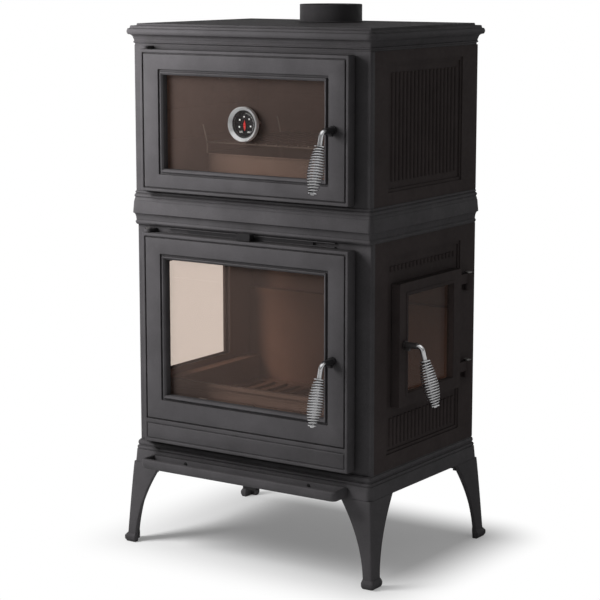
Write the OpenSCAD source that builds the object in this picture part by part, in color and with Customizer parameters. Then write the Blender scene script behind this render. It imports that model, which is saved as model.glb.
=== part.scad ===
// Cast iron range cooker: a firebox with a glazed door and a side door, an oven above it,
// four cabriole legs and a flue collar. Millimetres, +Z up, front towards -Y.

/* [Casing] */
// Width of the casing across its two sides
body_w = 560; // [480:5:680]
// Depth of the casing from the upper front face to the back
body_d = 406; // [380:2:520]
// Height of the legs, floor to the underside of the base
leg_h = 170; // [120:5:240]
// Height of the moulded base plate
base_h = 46; // [44:1:60]
// Height of the lower casing, round the fire
fire_h = 449; // [440:1:520]
// Height of the moulded waist plate
waist_h = 69; // [66:1:84]
// Height of the upper casing, round the oven
oven_h = 292; // [284:1:360]
// Height of the moulded top plate
cornice_h = 43; // [40:1:54]
// Thickness of the side plates
side_t = 10; // [9:0.5:14]
// Thickness of the front frames
front_t = 12; // [8:0.5:16]
// Thickness of the back plates
back_t = 8; // [6:0.5:12]
// Rounding of the upright corners of the casing
edge_r = 4; // [1:0.5:8]
// How far the lower front frame stands behind the upper one
lower_setback = 5; // [0:0.5:8]
// Thickness of the floors and mouldings of the cast plates
plate_t = 9; // [7:0.5:12]

/* [Legs] */
// Thickness of the leg castings
leg_t = 9; // [7:0.5:10]
// How far the feet stand out past the casing
foot_out = 24.4; // [22:0.2:34]
// How far the legs stand out past the casing above the feet
ankle_out = 19.3; // [14:0.1:20]
// How far the tops of the legs stand out past the casing
leg_top_out = 8.5; // [6:0.5:9]
// Height of a foot
foot_h = 18; // [12:1:26]
// Width of a leg's front arm under the base
leg_front_w = 61; // [50:1:90]
// Width of a leg's side arm under the base
leg_side_w = 75; // [50:1:100]
// Reach of a leg's front arm at the floor, past the casing's corner
leg_low_front = 1.5; // [0.5:0.5:12]
// Reach of a leg's side arm at the floor, past the casing's corner
leg_low_side = 11; // [4:0.5:20]

/* [Ash shelf] */
// Distance of the ash shelf's ends from the casing's sides
shelf_side = 43; // [40:1:100]
// How far the ash shelf stands out from the front
shelf_out = 54; // [40:1:70]
// Height of the ash shelf
shelf_h = 20; // [16:1:24]
// Width of the ash shelf's rim
shelf_rim = 8; // [6:0.5:12]

/* [Doors] */
// Distance of the front doors' edges from the casing's sides
door_side = 34; // [34:1:48]
// How far the front faces of the doors stand out from the upper front
door_out = 25; // [22:0.5:30]
// Gap between a door's back and the frame, filled by the seal
door_gap = 3; // [2.5:0.1:4]
// Width of the doors' raised lip
door_lip = 6; // [4:0.5:9]
// Width of the groove inside the lip
lip_groove = 3; // [2:0.5:5]
// Depth of the grooves in the doors
groove_d = 1.6; // [0.8:0.2:2.4]
// Gap under the fire door, over the base
fire_door_low_gap = 7; // [6:0.5:10]
// Gap over the fire door, under the waist
fire_door_top_gap = 12; // [11.6:0.2:14]
// Gap under the oven door, over the waist
oven_door_low_gap = 3.8; // [3.8:0.1:6]
// Gap over the oven door, under the top plate
oven_door_top_gap = 6.5; // [6:0.5:9]
// Overlap of a front door on its frame
door_land = 16; // [15:0.5:20]
// Height of the fire door's lower panel
low_panel_h = 34; // [26:1:40]
// Height of the rail between the fire door's two fields
rail_h = 8; // [5:0.5:12]

/* [Glass] */
// Thickness of the glass
glass_t = 4; // [3:0.5:5]
// Width of the bead round each glass
bead_w = 10; // [7:0.5:12]
// How far the glass lies behind the doors' front faces
glass_in = 16; // [12:0.5:17]
// Stile of the front doors beside their glass openings
door_stile = 56; // [54:1:90]
// Fire door's stile below its glass opening
fire_glass_low = 100.7; // [80:0.1:120]
// Fire door's rail above its glass opening
fire_glass_top = 51; // [36:0.5:70]
// Oven door's rail below its glass opening
oven_glass_low = 46; // [34:0.5:60]
// Oven door's rail above its glass opening
oven_glass_top = 49.5; // [34:0.5:60]
// Overlap of the glass behind the edge of its opening
glass_lap = 7; // [5:0.5:8]

/* [Side panels] */
// Distance of a side panel's recess from the front
panel_front = 62; // [50:1:80]
// Distance of a side panel's recess from the back
panel_back = 61; // [50:1:80]
// Depth of a side panel's recess
panel_depth = 5; // [3:0.5:6]
// Width of the step round a recess
panel_step = 6; // [3:0.5:10]
// Distance of the upper recess from the waist
upper_low = 24; // [16:1:40]
// Distance of the upper recess from the top plate
upper_top = 22; // [16:1:40]
// Distance of the lower recess from the base and from the waist
lower_edge = 30.5; // [20:0.5:40]
// Radius of a reed in the side panels
reed_r = 3.8; // [2:0.2:4.4]
// Distance from reed to reed
reed_pitch = 14.2; // [10:0.1:20]
// Distance of the outer reeds and their ends from the recess
reed_margin = 20; // [12:1:30]
// Height of the reeds above the side door's surround
reed_top_h = 10; // [6:1:16]
// Height of the reeds below the side door's surround
reed_low_h = 56; // [30:1:60]

/* [Side door] */
// Distance of the side door's front edge from the front
side_door_front = 84; // [70:1:100]
// Distance of the side door's hinge edge from the back
side_door_back = 81; // [76:1:110]
// Height of the side door's lower edge above the base
side_door_low = 121; // [100:1:140]
// Height of the side door
side_door_h = 244; // [200:1:250]
// Thickness of the side door
side_door_t = 18; // [16:0.5:22]
// How far the side door stands out from the side
side_door_out = 15; // [13:0.5:18]
// Stile of the side door at its hinge edge and latch edge
side_stile = 32; // [26:1:40]
// Rail of the side door above and below its glass
side_rail = 26; // [22:1:36]
// Overlap of the side door on its opening
side_land = 9; // [8.5:0.5:10]
// Distance of the side hinges' axis from the casing's back
side_hinge_back = 44; // [36:1:60]
// Radius of the side hinges' barrels
barrel_r = 10; // [8:0.5:12]
// Height of each side hinge barrel
barrel_h = 35; // [28:1:44]
// Distance of the side hinges from the door's upper and lower edges
barrel_in = 14; // [8:1:30]

/* [Left window] */
// Distance of the left window's front edge from the front
window_front = 78; // [72:1:96]
// Distance of the left window's rear edge from the back
window_back = 81; // [72:1:100]
// Height of the left window's lower edge above the base
window_low = 117; // [100:1:130]
// Height of the left window
window_h = 259; // [220:1:264]
// Width of the left window's frame
window_rim = 16; // [14:0.5:22]
// Overlap of the left window on its opening
window_land = 15; // [13:0.5:21]

/* [Hinges of the front doors] */
// Distance of the hinge axis from a door's left edge
hinge_in = 9; // [8:0.5:10]
// Distance of the hinge axis behind a door's front face
hinge_back = 10; // [9:0.5:12]
// Radius of the hinge pins
pin_r = 3.5; // [3:0.1:4]
// Depth of a hinge pin in its door
pin_depth = 20; // [14:1:30]
// Thickness of the fire door's hinge lugs
lug_t = 5.4; // [4:0.2:5.6]
// Thickness of the oven door's lower hinge lug
thin_lug_t = 3; // [2.4:0.2:3.2]
// Radial clearance of every turning pin in its bore
pin_clear = 0.05; // [0.03:0.01:0.08]
// Small gap between pieces that only lie near each other
fit_gap = 0.3; // [0.2:0.05:0.4]

/* [Handles] */
// Distance of the front handles' shafts from the doors' right edges
handle_in = 34; // [30:0.5:41]
// Height of the oven handle's shaft above the oven door's lower edge
oven_handle_up = 142.2; // [120:0.2:160]
// Height of the fire handle's shaft above the fire door's lower edge
fire_handle_up = 217; // [180:1:240]
// Distance of the side handle's shaft from the side door's front edge
side_handle_in = 17; // [15:0.5:20]
// Height of the side handle's shaft above the side door's lower edge
side_handle_up = 124; // [110:1:200]
// Radius of a latch shaft
shaft_r = 6; // [5:0.5:7]
// How far a latch shaft stands out of its door
shaft_out = 30; // [20:1:36]
// Radius of the handle's rod
rod_r = 4.8; // [3:0.1:5]
// Radius of the rod's bend
rod_bend_r = 12; // [9:0.5:16]
// Lean of the grip out from the upright, in degrees
grip_lean = 15.5; // [8:0.5:24]
// Bare rod between the bend and the grip
rod_bare = 20.5; // [16:0.5:34]
// Length of the wound grip
grip_l = 86; // [70:1:100]
// Thickness of the grip's wire
wire_d = 3.2; // [2.6:0.1:3.6]
// Number of curls in the grip
curls = 16; // [10:1:16]
// Radius of the grip at its upper end, to the outside of the wire
grip_r_top = 10.5; // [9:0.5:13]
// Radius of the grip at its widest
grip_r_mid = 16.5; // [12:0.5:18]
// Radius of the grip at its lower end
grip_r_low = 8.6; // [8.4:0.2:11]

/* [Thermometer] */
// Radius of the thermometer's bezel
bezel_r = 34; // [26:0.5:40]
// Radius of the thermometer's dial
dial_r = 24; // [18:0.5:30]
// Depth of the dial behind the bezel's front
dial_in = 10.7; // [8:0.1:11]
// Length of the probe behind the glass
probe_l = 46; // [30:1:60]

/* [Top and flue] */
// Radius of the flue collar, outside
collar_r = 63.7; // [50:0.1:80]
// Radius of the flue collar's bore
collar_bore = 58; // [44:0.5:74]
// Height of the flue collar
collar_h = 36; // [28:1:60]
// Distance of the flue collar's axis from the back
collar_back = 112; // [104:1:140]

/* [Inside] */
// Distance of the oven's inside from the casing's sides
oven_side = 42; // [36:1:48]
// Thickness of the oven box
liner_t = 3; // [2:0.5:4]
// Height of the oven floor above the waist
oven_floor = 31; // [26:1:40]
// Height of the grate above the base
grate_up = 54; // [50:1:64]
// Thickness of the firebox's cheeks
cheek_t = 28; // [20:1:30]
// Height of the firebox's cheeks above the base
cheek_h = 119; // [100:1:124]
// Height of the fireback above the base
fireback_h = 269; // [200:1:320]
// Radius of the wires of the oven's rack
rack_wire_r = 2; // [1.5:0.1:2.5]
// Distance from wire to wire of the rack
rack_pitch = 25; // [18:0.5:32]
// Half the length of the roasting tray
tray_half = 157; // [120:1:180]

/* [Air controls] */
// Width of the air controls' knobs
knob_w = 32; // [24:1:40]
// Height of the air controls' knobs
knob_h = 14; // [12:0.5:16]
// Half the length of the upper air slide
air_bar_half = 150; // [100:1:180]

/* [Hidden] */

$fn = 48;
IRON = "#3f3d3f";
DARK_IRON = "#2a2828";
STEEL = "#8d8c8a";
CHROME = "#d4d6d8";
GLASS = "#9fb4bd80";
ROPE = "#5a5850";
BLACK = "#151515";

// Half width, and the heights of the joints between the plates
half_w = body_w / 2;
z_base = leg_h;
z_fire = z_base + base_h;
z_waist = z_fire + fire_h;
z_oven = z_waist + waist_h;
z_top = z_oven + oven_h;
z_cap = z_top + cornice_h;
z_end = z_cap + collar_h;
inner_half = half_w - side_t;
rear_inner = body_d - back_t;

// Widths that follow the casing's
door_half = half_w - door_side;
glass_half = door_half - door_stile;
handle_x = door_half - handle_in;
shelf_half = half_w - shelf_side;
oven_half = half_w - oven_side;

// Front doors: heights, and the hinge axis that they share
fire_z0 = z_fire + fire_door_low_gap;
fire_z1 = z_waist - fire_door_top_gap;
oven_z0 = z_oven + oven_door_low_gap;
oven_z1 = z_top - oven_door_top_gap;
hinge_x = -door_half + hinge_in;
hinge_y = -door_out + hinge_back;
open_half = door_half - door_land;
seal_half = abs(hinge_x);
seal_face = 6;

// Side door: hinge axis, and the opening behind it
side_y0 = side_door_front;
side_y1 = body_d - side_door_back;
side_door_w = side_y1 - side_y0;
side_z0 = z_fire + side_door_low;
side_z1 = side_z0 + side_door_h;
side_x0 = half_w + side_door_out - side_door_t;
side_x1 = half_w + side_door_out;
side_axis_x = half_w + barrel_r + 1.4;
side_axis_y = body_d - side_hinge_back;
barrel_low_z = side_z0 + barrel_in;
barrel_top_z = side_z1 - barrel_in - barrel_h;
knuckle_split = 0.43;
side_bead_reach = 7;

// Left window: its outer edges
window_y0 = window_front;
window_y1 = body_d - window_back;
window_z0 = z_fire + window_low;
window_z1 = window_z0 + window_h;

// Grip of a handle, in the plane of its shaft: out from the door, and up
turn = 90 - grip_lean;
grip_dir = [sin(grip_lean), -cos(grip_lean)];
bend_end = [shaft_out + rod_bend_r * sin(turn), -rod_bend_r * (1 - cos(turn))];
grip_start = bend_end + rod_bare * grip_dir;
washer_t = 2;
rivet_r = 5;
rivet_h = 2.4;

// Centre line of the grip's wire in the grip's own frame: x and y across, z down the grip.
// The ends stand straight on the washers for one wire thickness, then turn into the curls.
ease_r = 0.75 * wire_d;
ease_steps = 3;
rings_per_curl = 8;
wire_sides = 6;
coil_gap = 0.2;
coil_z0 = coil_gap + wire_d + ease_r;
coil_z1 = grip_l - coil_z0;
widest = 0.52;
function wire_axis_r(t) =
    let (top = grip_r_top - wire_d / 2, mid = grip_r_mid - wire_d / 2, low = grip_r_low - wire_d / 2)
    t < widest ? top + (mid - top) * sin(90 * t / widest)
               : low + (mid - low) * (1 - pow((t - widest) / (1 - widest), 2.2));
function around(r, a, z) = [r * cos(a), r * sin(a), z];
function ease_in(r, a, sign) = [for (i = [0:ease_steps - 1]) let (f = 86 * i / ease_steps)
    around(r, a - sign * (ease_r * sin(86) - ease_r * (1 - cos(f))) * 57.3 / r,
           coil_z0 - ease_r + ease_r * sin(f))];
function flip_z(points) = [for (i = [len(points) - 1:-1:0])
    [points[i][0], points[i][1], grip_l - points[i][2]]];
coil_start = let (r = wire_axis_r(0), a = -(ease_r * sin(86)) * 57.3 / r)
    concat([around(r, a, coil_gap)], ease_in(r, 0, 1));
coil_finish = let (r = wire_axis_r(1), a = (ease_r * sin(86)) * 57.3 / r)
    flip_z(concat([around(r, a, coil_gap)], ease_in(r, 0, -1)));
coil_line = concat(coil_start,
    [for (i = [0:curls * rings_per_curl]) let (t = i / (curls * rings_per_curl))
        around(wire_axis_r(t), 360 * curls * t, coil_z0 + (coil_z1 - coil_z0) * t)],
    coil_finish);
coil_count = len(coil_line);
function unit(v) = v / norm(v);
function line_dir(i) = i == 0 || i == coil_count - 1 ? [0, 0, 1]
    : unit(coil_line[i + 1] - coil_line[i - 1]);
function wire_ring(i) =
    let (p = coil_line[i], d = line_dir(i), out = unit([p[0], p[1], 0]),
         n = unit(out - (out * d) * d), b = cross(d, n))
    [for (k = [0:wire_sides - 1]) let (a = 360 * k / wire_sides)
        p + wire_d / 2 * (cos(a) * n + sin(a) * b)];
coil_points = [for (i = [0:coil_count - 1]) each wire_ring(i)];
coil_faces = concat(
    [for (k = [1:wire_sides - 2]) [0, k, k + 1]],
    [for (i = [0:coil_count - 2]) for (k = [0:wire_sides - 1])
        let (a = i * wire_sides + k, b = i * wire_sides + (k + 1) % wire_sides)
        each [[a, a + wire_sides, b], [b, a + wire_sides, b + wire_sides]]],
    let (e = (coil_count - 1) * wire_sides) [for (k = [1:wire_sides - 2]) [e, e + k + 1, e + k]]);
coil_self_gap = min([for (i = [0:coil_count - 1])
    for (j = [i + rings_per_curl / 2:1:coil_count - 1]) norm(coil_line[i] - coil_line[j])]) - wire_d;
echo(least_gap_of_a_grip_to_itself_mm = coil_self_gap);

// Place of a point of the grip's frame, out from the door and up from the shaft
function grip_out(p) = grip_start[0] + p[0] * cos(grip_lean) + p[2] * sin(grip_lean);
handle_reach = max(max([for (p = coil_points) grip_out(p)]),
    grip_out([rivet_r, 0, grip_l + washer_t + rivet_h]));

// The origin stands on the floor in the middle of the outermost reaches
reach_left = -half_w - foot_out;
reach_right = side_x1 + handle_reach;
reach_front = -door_out - handle_reach;
reach_rear = body_d + foot_out;
shift_x = -(reach_left + reach_right) / 2;
shift_y = -(reach_front + reach_rear) / 2;
echo(shift = [shift_x, shift_y], reach = handle_reach, top = z_end);

module placed() {
    translate([shift_x, shift_y, 0]) children();
}

// Block between two opposite corners
module block(x0, x1, y0, y1, z0, z1) {
    translate([x0, y0, z0]) cube([x1 - x0, y1 - y0, z1 - z0]);
}

// Flat rectangle with round corners, in the plane of the first two axes
module round_rect(x0, x1, y0, y1, r) {
    translate([x0 + r, y0]) square([x1 - x0 - 2 * r, y1 - y0]);
    translate([x0, y0 + r]) square([x1 - x0, y1 - y0 - 2 * r]);
    for (x = [x0 + r, x1 - r]) for (y = [y0 + r, y1 - r]) translate([x, y]) circle(r);
}

// Plate that faces the front: drawn across and up, from y0 back to y1
module facing(y0, y1) {
    translate([0, y1, 0]) rotate([90, 0, 0]) linear_extrude(y1 - y0) children();
}

// Plate that faces the side: drawn from front to back and up, from x0 out to x1
module sideways(x0, x1) {
    translate([x0, 0, 0]) rotate([90, 0, 90]) linear_extrude(x1 - x0) children();
}

// Ring between two rectangles, with round outer corners
module frame_2d(x0, x1, z0, z1, w, r) {
    difference() {
        round_rect(x0, x1, z0, z1, r);
        translate([x0 + w, z0 + w]) square([x1 - x0 - 2 * w, z1 - z0 - 2 * w]);
    }
}

// Bead and hollow of a moulding, as points [overhang, height]
function bead(o, swell, z0, z1, n = 4) =
    [for (i = [0:n]) [o + swell * sin(180 * i / n), z0 + (z1 - z0) * i / n]];
function hollow(o0, z0, o1, z1, n = 4) =
    [for (i = [0:n]) [o0 + (o1 - o0) * (1 - cos(90 * i / n)), z0 + (z1 - z0) * sin(90 * i / n)]];

// Moulding that runs round the casing: the profile closes up on its inner side
corner_steps = 3;
function loop_at(o, z) = let (r = max(edge_r + o, 0.2))
    [for (k = [0:3]) for (j = [0:corner_steps])
        let (a = 180 + 90 * k + 90 * j / corner_steps,
             cx = (k == 1 || k == 2 ? 1 : -1) * (half_w + o - r),
             cy = k < 2 ? r - o : body_d + o - r)
        [cx + r * cos(a), cy + r * sin(a), z]];
module moulding(profile) {
    n = 4 * (corner_steps + 1);
    m = len(profile);
    polyhedron(
        [for (p = profile) each loop_at(p[0], p[1])],
        [for (i = [0:m - 1]) for (j = [0:n - 1])
            let (a = i * n + j, b = i * n + (j + 1) % n,
                 c = ((i + 1) % m) * n + j, d = ((i + 1) % m) * n + (j + 1) % n)
            each [[a, c, b], [b, c, d]]],
        convexity = 8);
}

// ---- Base and legs ----

base_profile = concat(
    [[leg_top_out - 0.3, z_base], [leg_top_out, z_base + 1], [5.9, z_base + 26], [4.6, z_base + 26.8]],
    bead(4.2, 1.2, z_base + 27.4, z_base + 33),
    [[2.2, z_base + 34]],
    bead(1.8, 1.6, z_base + 35, z_fire - 2),
    [[0, z_fire - 1], [0, z_fire], [-side_t, z_fire], [-side_t, z_base]]);
base_floor = z_fire - plate_t;
rail_top = z_fire + 22;
air_hole = [120, 40];
air_hole_y = 22;
ash_rail_x = 156;

module base_plate() {
    color(IRON) placed() difference() {
        union() {
            moulding(base_profile);
            difference() {
                block(-inner_half, inner_half, side_t, body_d - side_t, base_floor, z_fire);
                block(-air_hole[0] / 2, air_hole[0] / 2, air_hole_y, air_hole_y + air_hole[1],
                      base_floor - 1, z_fire + 1);
            }
            for (s = [-1, 1]) block(s * ash_rail_x - 4, s * ash_rail_x + 4, 60, rear_inner - 40,
                                    z_fire - 1, rail_top);
            at_leg_bolts() cylinder(r = 12, h = base_floor + 1 - z_base);
            air_guides();
        }
        at_leg_bolts() translate([0, 0, -1]) cylinder(r = bolt_r + pin_clear, h = bolt_len);
    }
}

// Guides under the floor that the lower air slide runs in
air_plate_t = 4;
air_guide_w = 6;
module air_guides() {
    half = air_hole[0] / 2 + 60;
    for (y = [air_hole_y - 10, air_hole_y + air_hole[1] + 4]) difference() {
        block(-half, half, y, y + air_guide_w, base_floor - air_plate_t - 4, base_floor + 1);
        block(-half - 1, half + 1, y < air_hole_y ? y + 2 : y - 1,
              y < air_hole_y ? y + air_guide_w + 1 : y + air_guide_w - 2,
              base_floor - air_plate_t - fit_gap, base_floor);
    }
}

bolt_r = 4;
bolt_len = 34;
bolt_in = 24;
lug_h = 20;
lug_bite = 3;
lug_reach = 12;
module at_leg_bolts() {
    for (x = [-1, 1]) for (y = [0, 1])
        translate([x * (half_w - bolt_in), y == 0 ? bolt_in : body_d - bolt_in, z_base]) children();
}

// Leg casting: an L of two arms, which narrow downwards in a curve and swell outwards at the foot.
// Its own frame has the casing's corner at the origin and the arms along +x and +y.
leg_steps = 12;
leg_chamfer = 2.4;
foot_rings = [[0, 0.45], [0.28, 1], [0.66, 1], [0.95, 0.25]];
foot_swell = foot_out - ankle_out;
function leg_out(h) = leg_top_out + (ankle_out - leg_top_out)
    * pow(1 - max(0, h - foot_h) / (leg_h - foot_h), 0.9);
function arm(low, top, h) = low + (top - low) * pow(h / leg_h, 2);
function leg_section(h, swell) =
    let (o = leg_out(h) + swell, t = leg_t + swell, c = leg_chamfer,
         f = arm(leg_low_front, leg_front_w, h) + swell / 4,
         s = arm(leg_low_side, leg_side_w, h) + swell / 4)
    [[-o + c, -o, h], [f, -o, h], [f, -o + t, h], [-o + t, -o + t, h], [-o + t, s, h], [-o, s, h],
     [-o, -o + c, h]];
module leg_casting() {
    rings = concat(
        [for (p = foot_rings) leg_section(p[0] * foot_h, p[1] * foot_swell)],
        [for (i = [0:leg_steps]) leg_section(foot_h + (leg_h - foot_h) * i / leg_steps, 0)]);
    points = [for (ring = rings) each ring];
    n = len(rings[0]);
    last = len(rings) - 1;
    polyhedron(points, concat(
        [[for (k = [0:n - 1]) k]],
        [for (i = [0:last - 1]) for (k = [0:n - 1])
            let (a = i * n + k, b = i * n + (k + 1) % n)
            each [[a, a + n, b], [b, a + n, b + n]]],
        [[for (k = [n - 1:-1:0]) last * n + k]]), convexity = 6);
    low = -leg_top_out + leg_t - lug_bite;
    high = bolt_in + lug_reach;
    difference() {
        block(low, high, low, high, leg_h - lug_h, leg_h);
        translate([bolt_in, bolt_in, leg_h - lug_h - 1]) cylinder(r = bolt_r + pin_clear, h = lug_h + 2);
    }
}
module at_corner(x, y) {
    placed() translate([x * half_w, y < 0 ? 0 : body_d, 0])
        mirror([x > 0 ? 1 : 0, 0, 0]) mirror([0, y > 0 ? 1 : 0, 0]) children();
}
module leg_front_left() { color(IRON) at_corner(-1, -1) leg_casting(); }
module leg_front_right() { color(IRON) at_corner(1, -1) leg_casting(); }
module leg_rear_left() { color(IRON) at_corner(-1, 1) leg_casting(); }
module leg_rear_right() { color(IRON) at_corner(1, 1) leg_casting(); }

// Ash shelf: a shallow tray with a thick rim, screwed to the base's skirt
shelf_back = -leg_top_out;
shelf_z0 = z_base + 2;
shelf_r = 14;
module ash_shelf() {
    color(IRON) placed() difference() {
        union() {
            translate([0, 0, shelf_z0]) linear_extrude(shelf_h - 3)
                round_rect(-shelf_half, shelf_half, -shelf_out, shelf_back + shelf_r, shelf_r);
            translate([0, 0, shelf_z0 + shelf_h - 3]) linear_extrude(3)
                round_rect(-shelf_half + 2, shelf_half - 2, -shelf_out + 2, shelf_back + shelf_r, shelf_r);
        }
        block(-shelf_half - 1, shelf_half + 1, shelf_back, shelf_back + shelf_r + 1, z_base, z_fire);
        translate([0, 0, shelf_z0 + 5]) linear_extrude(shelf_h)
            round_rect(-shelf_half + shelf_rim, shelf_half - shelf_rim,
                       -shelf_out + shelf_rim, shelf_back - 5, shelf_r / 2);
        at_shelf_screws() rotate([90, 0, 0]) translate([0, 0, -20])
            cylinder(r = screw_r + pin_clear, h = 40);
    }
}
screw_r = 2.5;
shelf_screw_x = 150;
module at_shelf_screws() {
    for (x = [-1, 1]) translate([x * shelf_screw_x, shelf_back - 5, shelf_z0 + 12]) children();
}

// ---- Casing plates ----

// Plan of a front frame, with its two upright corners rounded
module front_plan(y0) {
    difference() {
        translate([-half_w, y0]) square([body_w, front_t]);
        for (s = [-1, 1]) translate([s * (half_w - edge_r / 2), y0 + edge_r / 2])
            square([edge_r + 0.001, edge_r + 0.001], center = true);
    }
    for (s = [-1, 1]) translate([s * (half_w - edge_r), y0 + edge_r]) circle(edge_r);
}
slot_z0 = z_waist - fire_door_top_gap;
air_bar_z0 = slot_z0 + 2.6;
air_bar_h = 6;
air_slots = [44, 120];
air_slot_half = 22;
air_ledge_over = 50;
module fire_front() {
    y0 = lower_setback;
    color(IRON) placed() {
        difference() {
            translate([0, 0, z_fire]) linear_extrude(fire_h) front_plan(y0);
            block(-open_half, open_half, y0 - 1, y0 + front_t + 1, fire_z0 + door_land - 2,
                fire_z1 - door_land);
            for (s = [-1, 1]) for (x = air_slots)
                block(s * x - air_slot_half, s * x + air_slot_half, y0 - 1, y0 + front_t + 1,
                      air_bar_z0 + 1.5, air_bar_z0 + air_bar_h - 1.5);
        }
        hinge_lug(fire_z0 - fit_gap - lug_t, lug_t, y0);
        hinge_lug(fire_z1 + fire_lug_gap, fire_top_lug_t, y0);
        for (z = [air_bar_z0 - fit_gap - 1.5, air_bar_z0 + air_bar_h + fit_gap]) {
            block(-air_bar_half - air_ledge_over, air_bar_half + air_ledge_over,
                  y0 - 5.5, y0 + 0.5, z, z + 1.5);
        }
    }
}

// Lug that carries a hinge pin, on a frame whose face is at y1
lug_r = 8;
fire_lug_gap = 1.5;
fire_top_lug_t = lug_t + 0.6;
oven_lug_gap = 0.8;
oven_top_lug_t = lug_t - 0.6;
module hinge_lug(z0, t, y1) {
    difference() {
        union() {
            block(hinge_x - lug_r, hinge_x + lug_r, hinge_y, y1 + 0.5, z0, z0 + t);
            translate([hinge_x, hinge_y, z0]) cylinder(r = lug_r, h = t);
        }
        translate([hinge_x, hinge_y, z0 - 1]) cylinder(r = pin_r, h = t + 2);
    }
}

// Side plate, its recess and its reeds; s is -1 for the left side and 1 for the right
rec_y0 = panel_front;
rec_y1 = body_d - panel_back;
reed_count = floor((rec_y1 - rec_y0 - 2 * reed_margin) / reed_pitch);
reed_y0 = (rec_y0 + rec_y1 - reed_count * reed_pitch) / 2;
module side_plate(s, y0, z0, z1) {
    x = s * (half_w - side_t / 2);
    difference() {
        block(x - side_t / 2, x + side_t / 2, y0, rear_inner, z0, z1);
        recess(s, z0, z1);
    }
}
module recess(s, z0, z1) {
    low = z0 == z_oven ? upper_low : lower_edge;
    high = z0 == z_oven ? upper_top : lower_edge;
    deep = half_w - panel_depth;
    mid = half_w - panel_depth / 2;
    for (p = [[deep, panel_step], [mid, 0]])
        mirror([s < 0 ? 1 : 0, 0, 0])
            block(p[0], half_w + 1, rec_y0 + p[1], rec_y1 - p[1], z0 + low + p[1], z1 - high - p[1]);
}
module reeds(s, z0, z1) {
    for (i = [0:reed_count])
        translate([s * (half_w - panel_depth), reed_y0 + i * reed_pitch, z0])
            cylinder(r = reed_r, h = z1 - z0, $fn = 24);
}
surround_margin = 17;
module lower_side(s) {
    high = z_waist - lower_edge;
    side_plate(s, lower_setback + front_t, z_fire, z_waist);
    reeds(s, side_z0 - surround_margin - 4 - reed_low_h, side_z0 - surround_margin - 4);
    reeds(s, high - panel_step - 14 - reed_top_h, high - panel_step - 14);
}
module side_opening(s, y0, y1, z0, z1, land) {
    sideways(s * half_w - 40, s * half_w + 40)
        round_rect(y0 + land, y1 - land, z0 + land, z1 - land, 4);
}
baffle_z = fire_z1 - door_land + 4;
baffle_y0 = 110;
baffle_t = 12;
module baffle_ledge(s) {
    mirror([s < 0 ? 1 : 0, 0, 0]) block(inner_half - 8, inner_half + 1, baffle_y0 + 10, rear_inner - 8,
        baffle_z - 6, baffle_z);
}
module fire_side_right() {
    color(DARK_IRON) placed() {
        difference() {
            lower_side(1);
            side_opening(1, side_y0, side_y1, side_z0, side_z1, side_land);
        }
        baffle_ledge(1);
        for (z = [barrel_low_z, barrel_top_z]) side_knuckle(z, z + barrel_h * knuckle_split);
    }
}
// Fixed knuckle of a side hinge, on a pad that stands on the side plate
module side_knuckle(z0, z1) {
    difference() {
        union() {
            translate([side_axis_x, side_axis_y, z0]) cylinder(r = barrel_r, h = z1 - z0);
            block(half_w - 1, side_axis_x, side_axis_y - barrel_r + 3, side_axis_y + barrel_r - 3, z0, z1);
        }
        translate([side_axis_x, side_axis_y, z0 - 1]) cylinder(r = pin_r, h = z1 - z0 + 2);
    }
}
module fire_side_left() {
    color(DARK_IRON) placed() {
        difference() {
            lower_side(-1);
            side_opening(-1, window_y0, window_y1, window_z0, window_z1, window_land);
            at_window_screws() rotate([0, 90, 0]) translate([0, 0, -20]) cylinder(r = screw_r, h = 40);
        }
        baffle_ledge(-1);
    }
}
module fire_back() {
    color(DARK_IRON) placed() block(-half_w, half_w, rear_inner, body_d, z_fire, z_waist);
}

waist_profile = concat(
    bead(0.3, 2.4, z_waist + 0.5, z_waist + 9.3),
    hollow(1, z_waist + 9.5, 7.6, z_waist + 23.4),
    [[5.3, z_waist + 47.7], [4.2, z_waist + 48.3], [4.6, z_waist + 50], [3, z_waist + 54]],
    bead(2.4, 2, z_waist + 55, z_waist + 62),
    [[1.2, z_waist + 62.8]],
    bead(1, 1.4, z_waist + 63.4, z_oven - 1),
    [[0, z_oven], [-side_t, z_oven], [-side_t, z_waist], [0, z_waist]]);
waist_floor = z_oven - 22;
gas_slot_w = 20;
module waist_plate() {
    color(IRON) placed() {
        moulding(waist_profile);
        difference() {
            block(-inner_half - 1, inner_half + 1, side_t - 1, body_d - side_t + 1, waist_floor,
                waist_floor + plate_t);
            for (s = [-1, 1]) block(s * (inner_half - 14) - gas_slot_w / 2,
                s * (inner_half - 14) + gas_slot_w / 2,
                                    60, rear_inner - 40, waist_floor - 1, waist_floor + plate_t + 1);
        }
    }
}
oven_open_z0 = z_oven + oven_floor;
oven_open_z1 = oven_z1 - door_land + 2;
module oven_front() {
    color(IRON) placed() {
        difference() {
            translate([0, 0, z_oven]) linear_extrude(oven_h) front_plan(0);
            block(-open_half, open_half, -1, front_t + 1, oven_open_z0, oven_open_z1);
        }
        hinge_lug(oven_z0 - fit_gap - thin_lug_t, thin_lug_t, 0);
        hinge_lug(oven_z1 + oven_lug_gap, oven_top_lug_t, 0);
    }
}
module upper_side(s) {
    side_plate(s, front_t, z_oven, z_top);
    reeds(s, z_oven + upper_low + reed_margin, z_top - upper_top - reed_margin);
}
module oven_side_right() { color(DARK_IRON) placed() upper_side(1); }
module oven_side_left() { color(DARK_IRON) placed() upper_side(-1); }
module oven_back() {
    color(DARK_IRON) placed() block(-half_w, half_w, rear_inner, body_d, z_oven, z_top);
}

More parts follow.
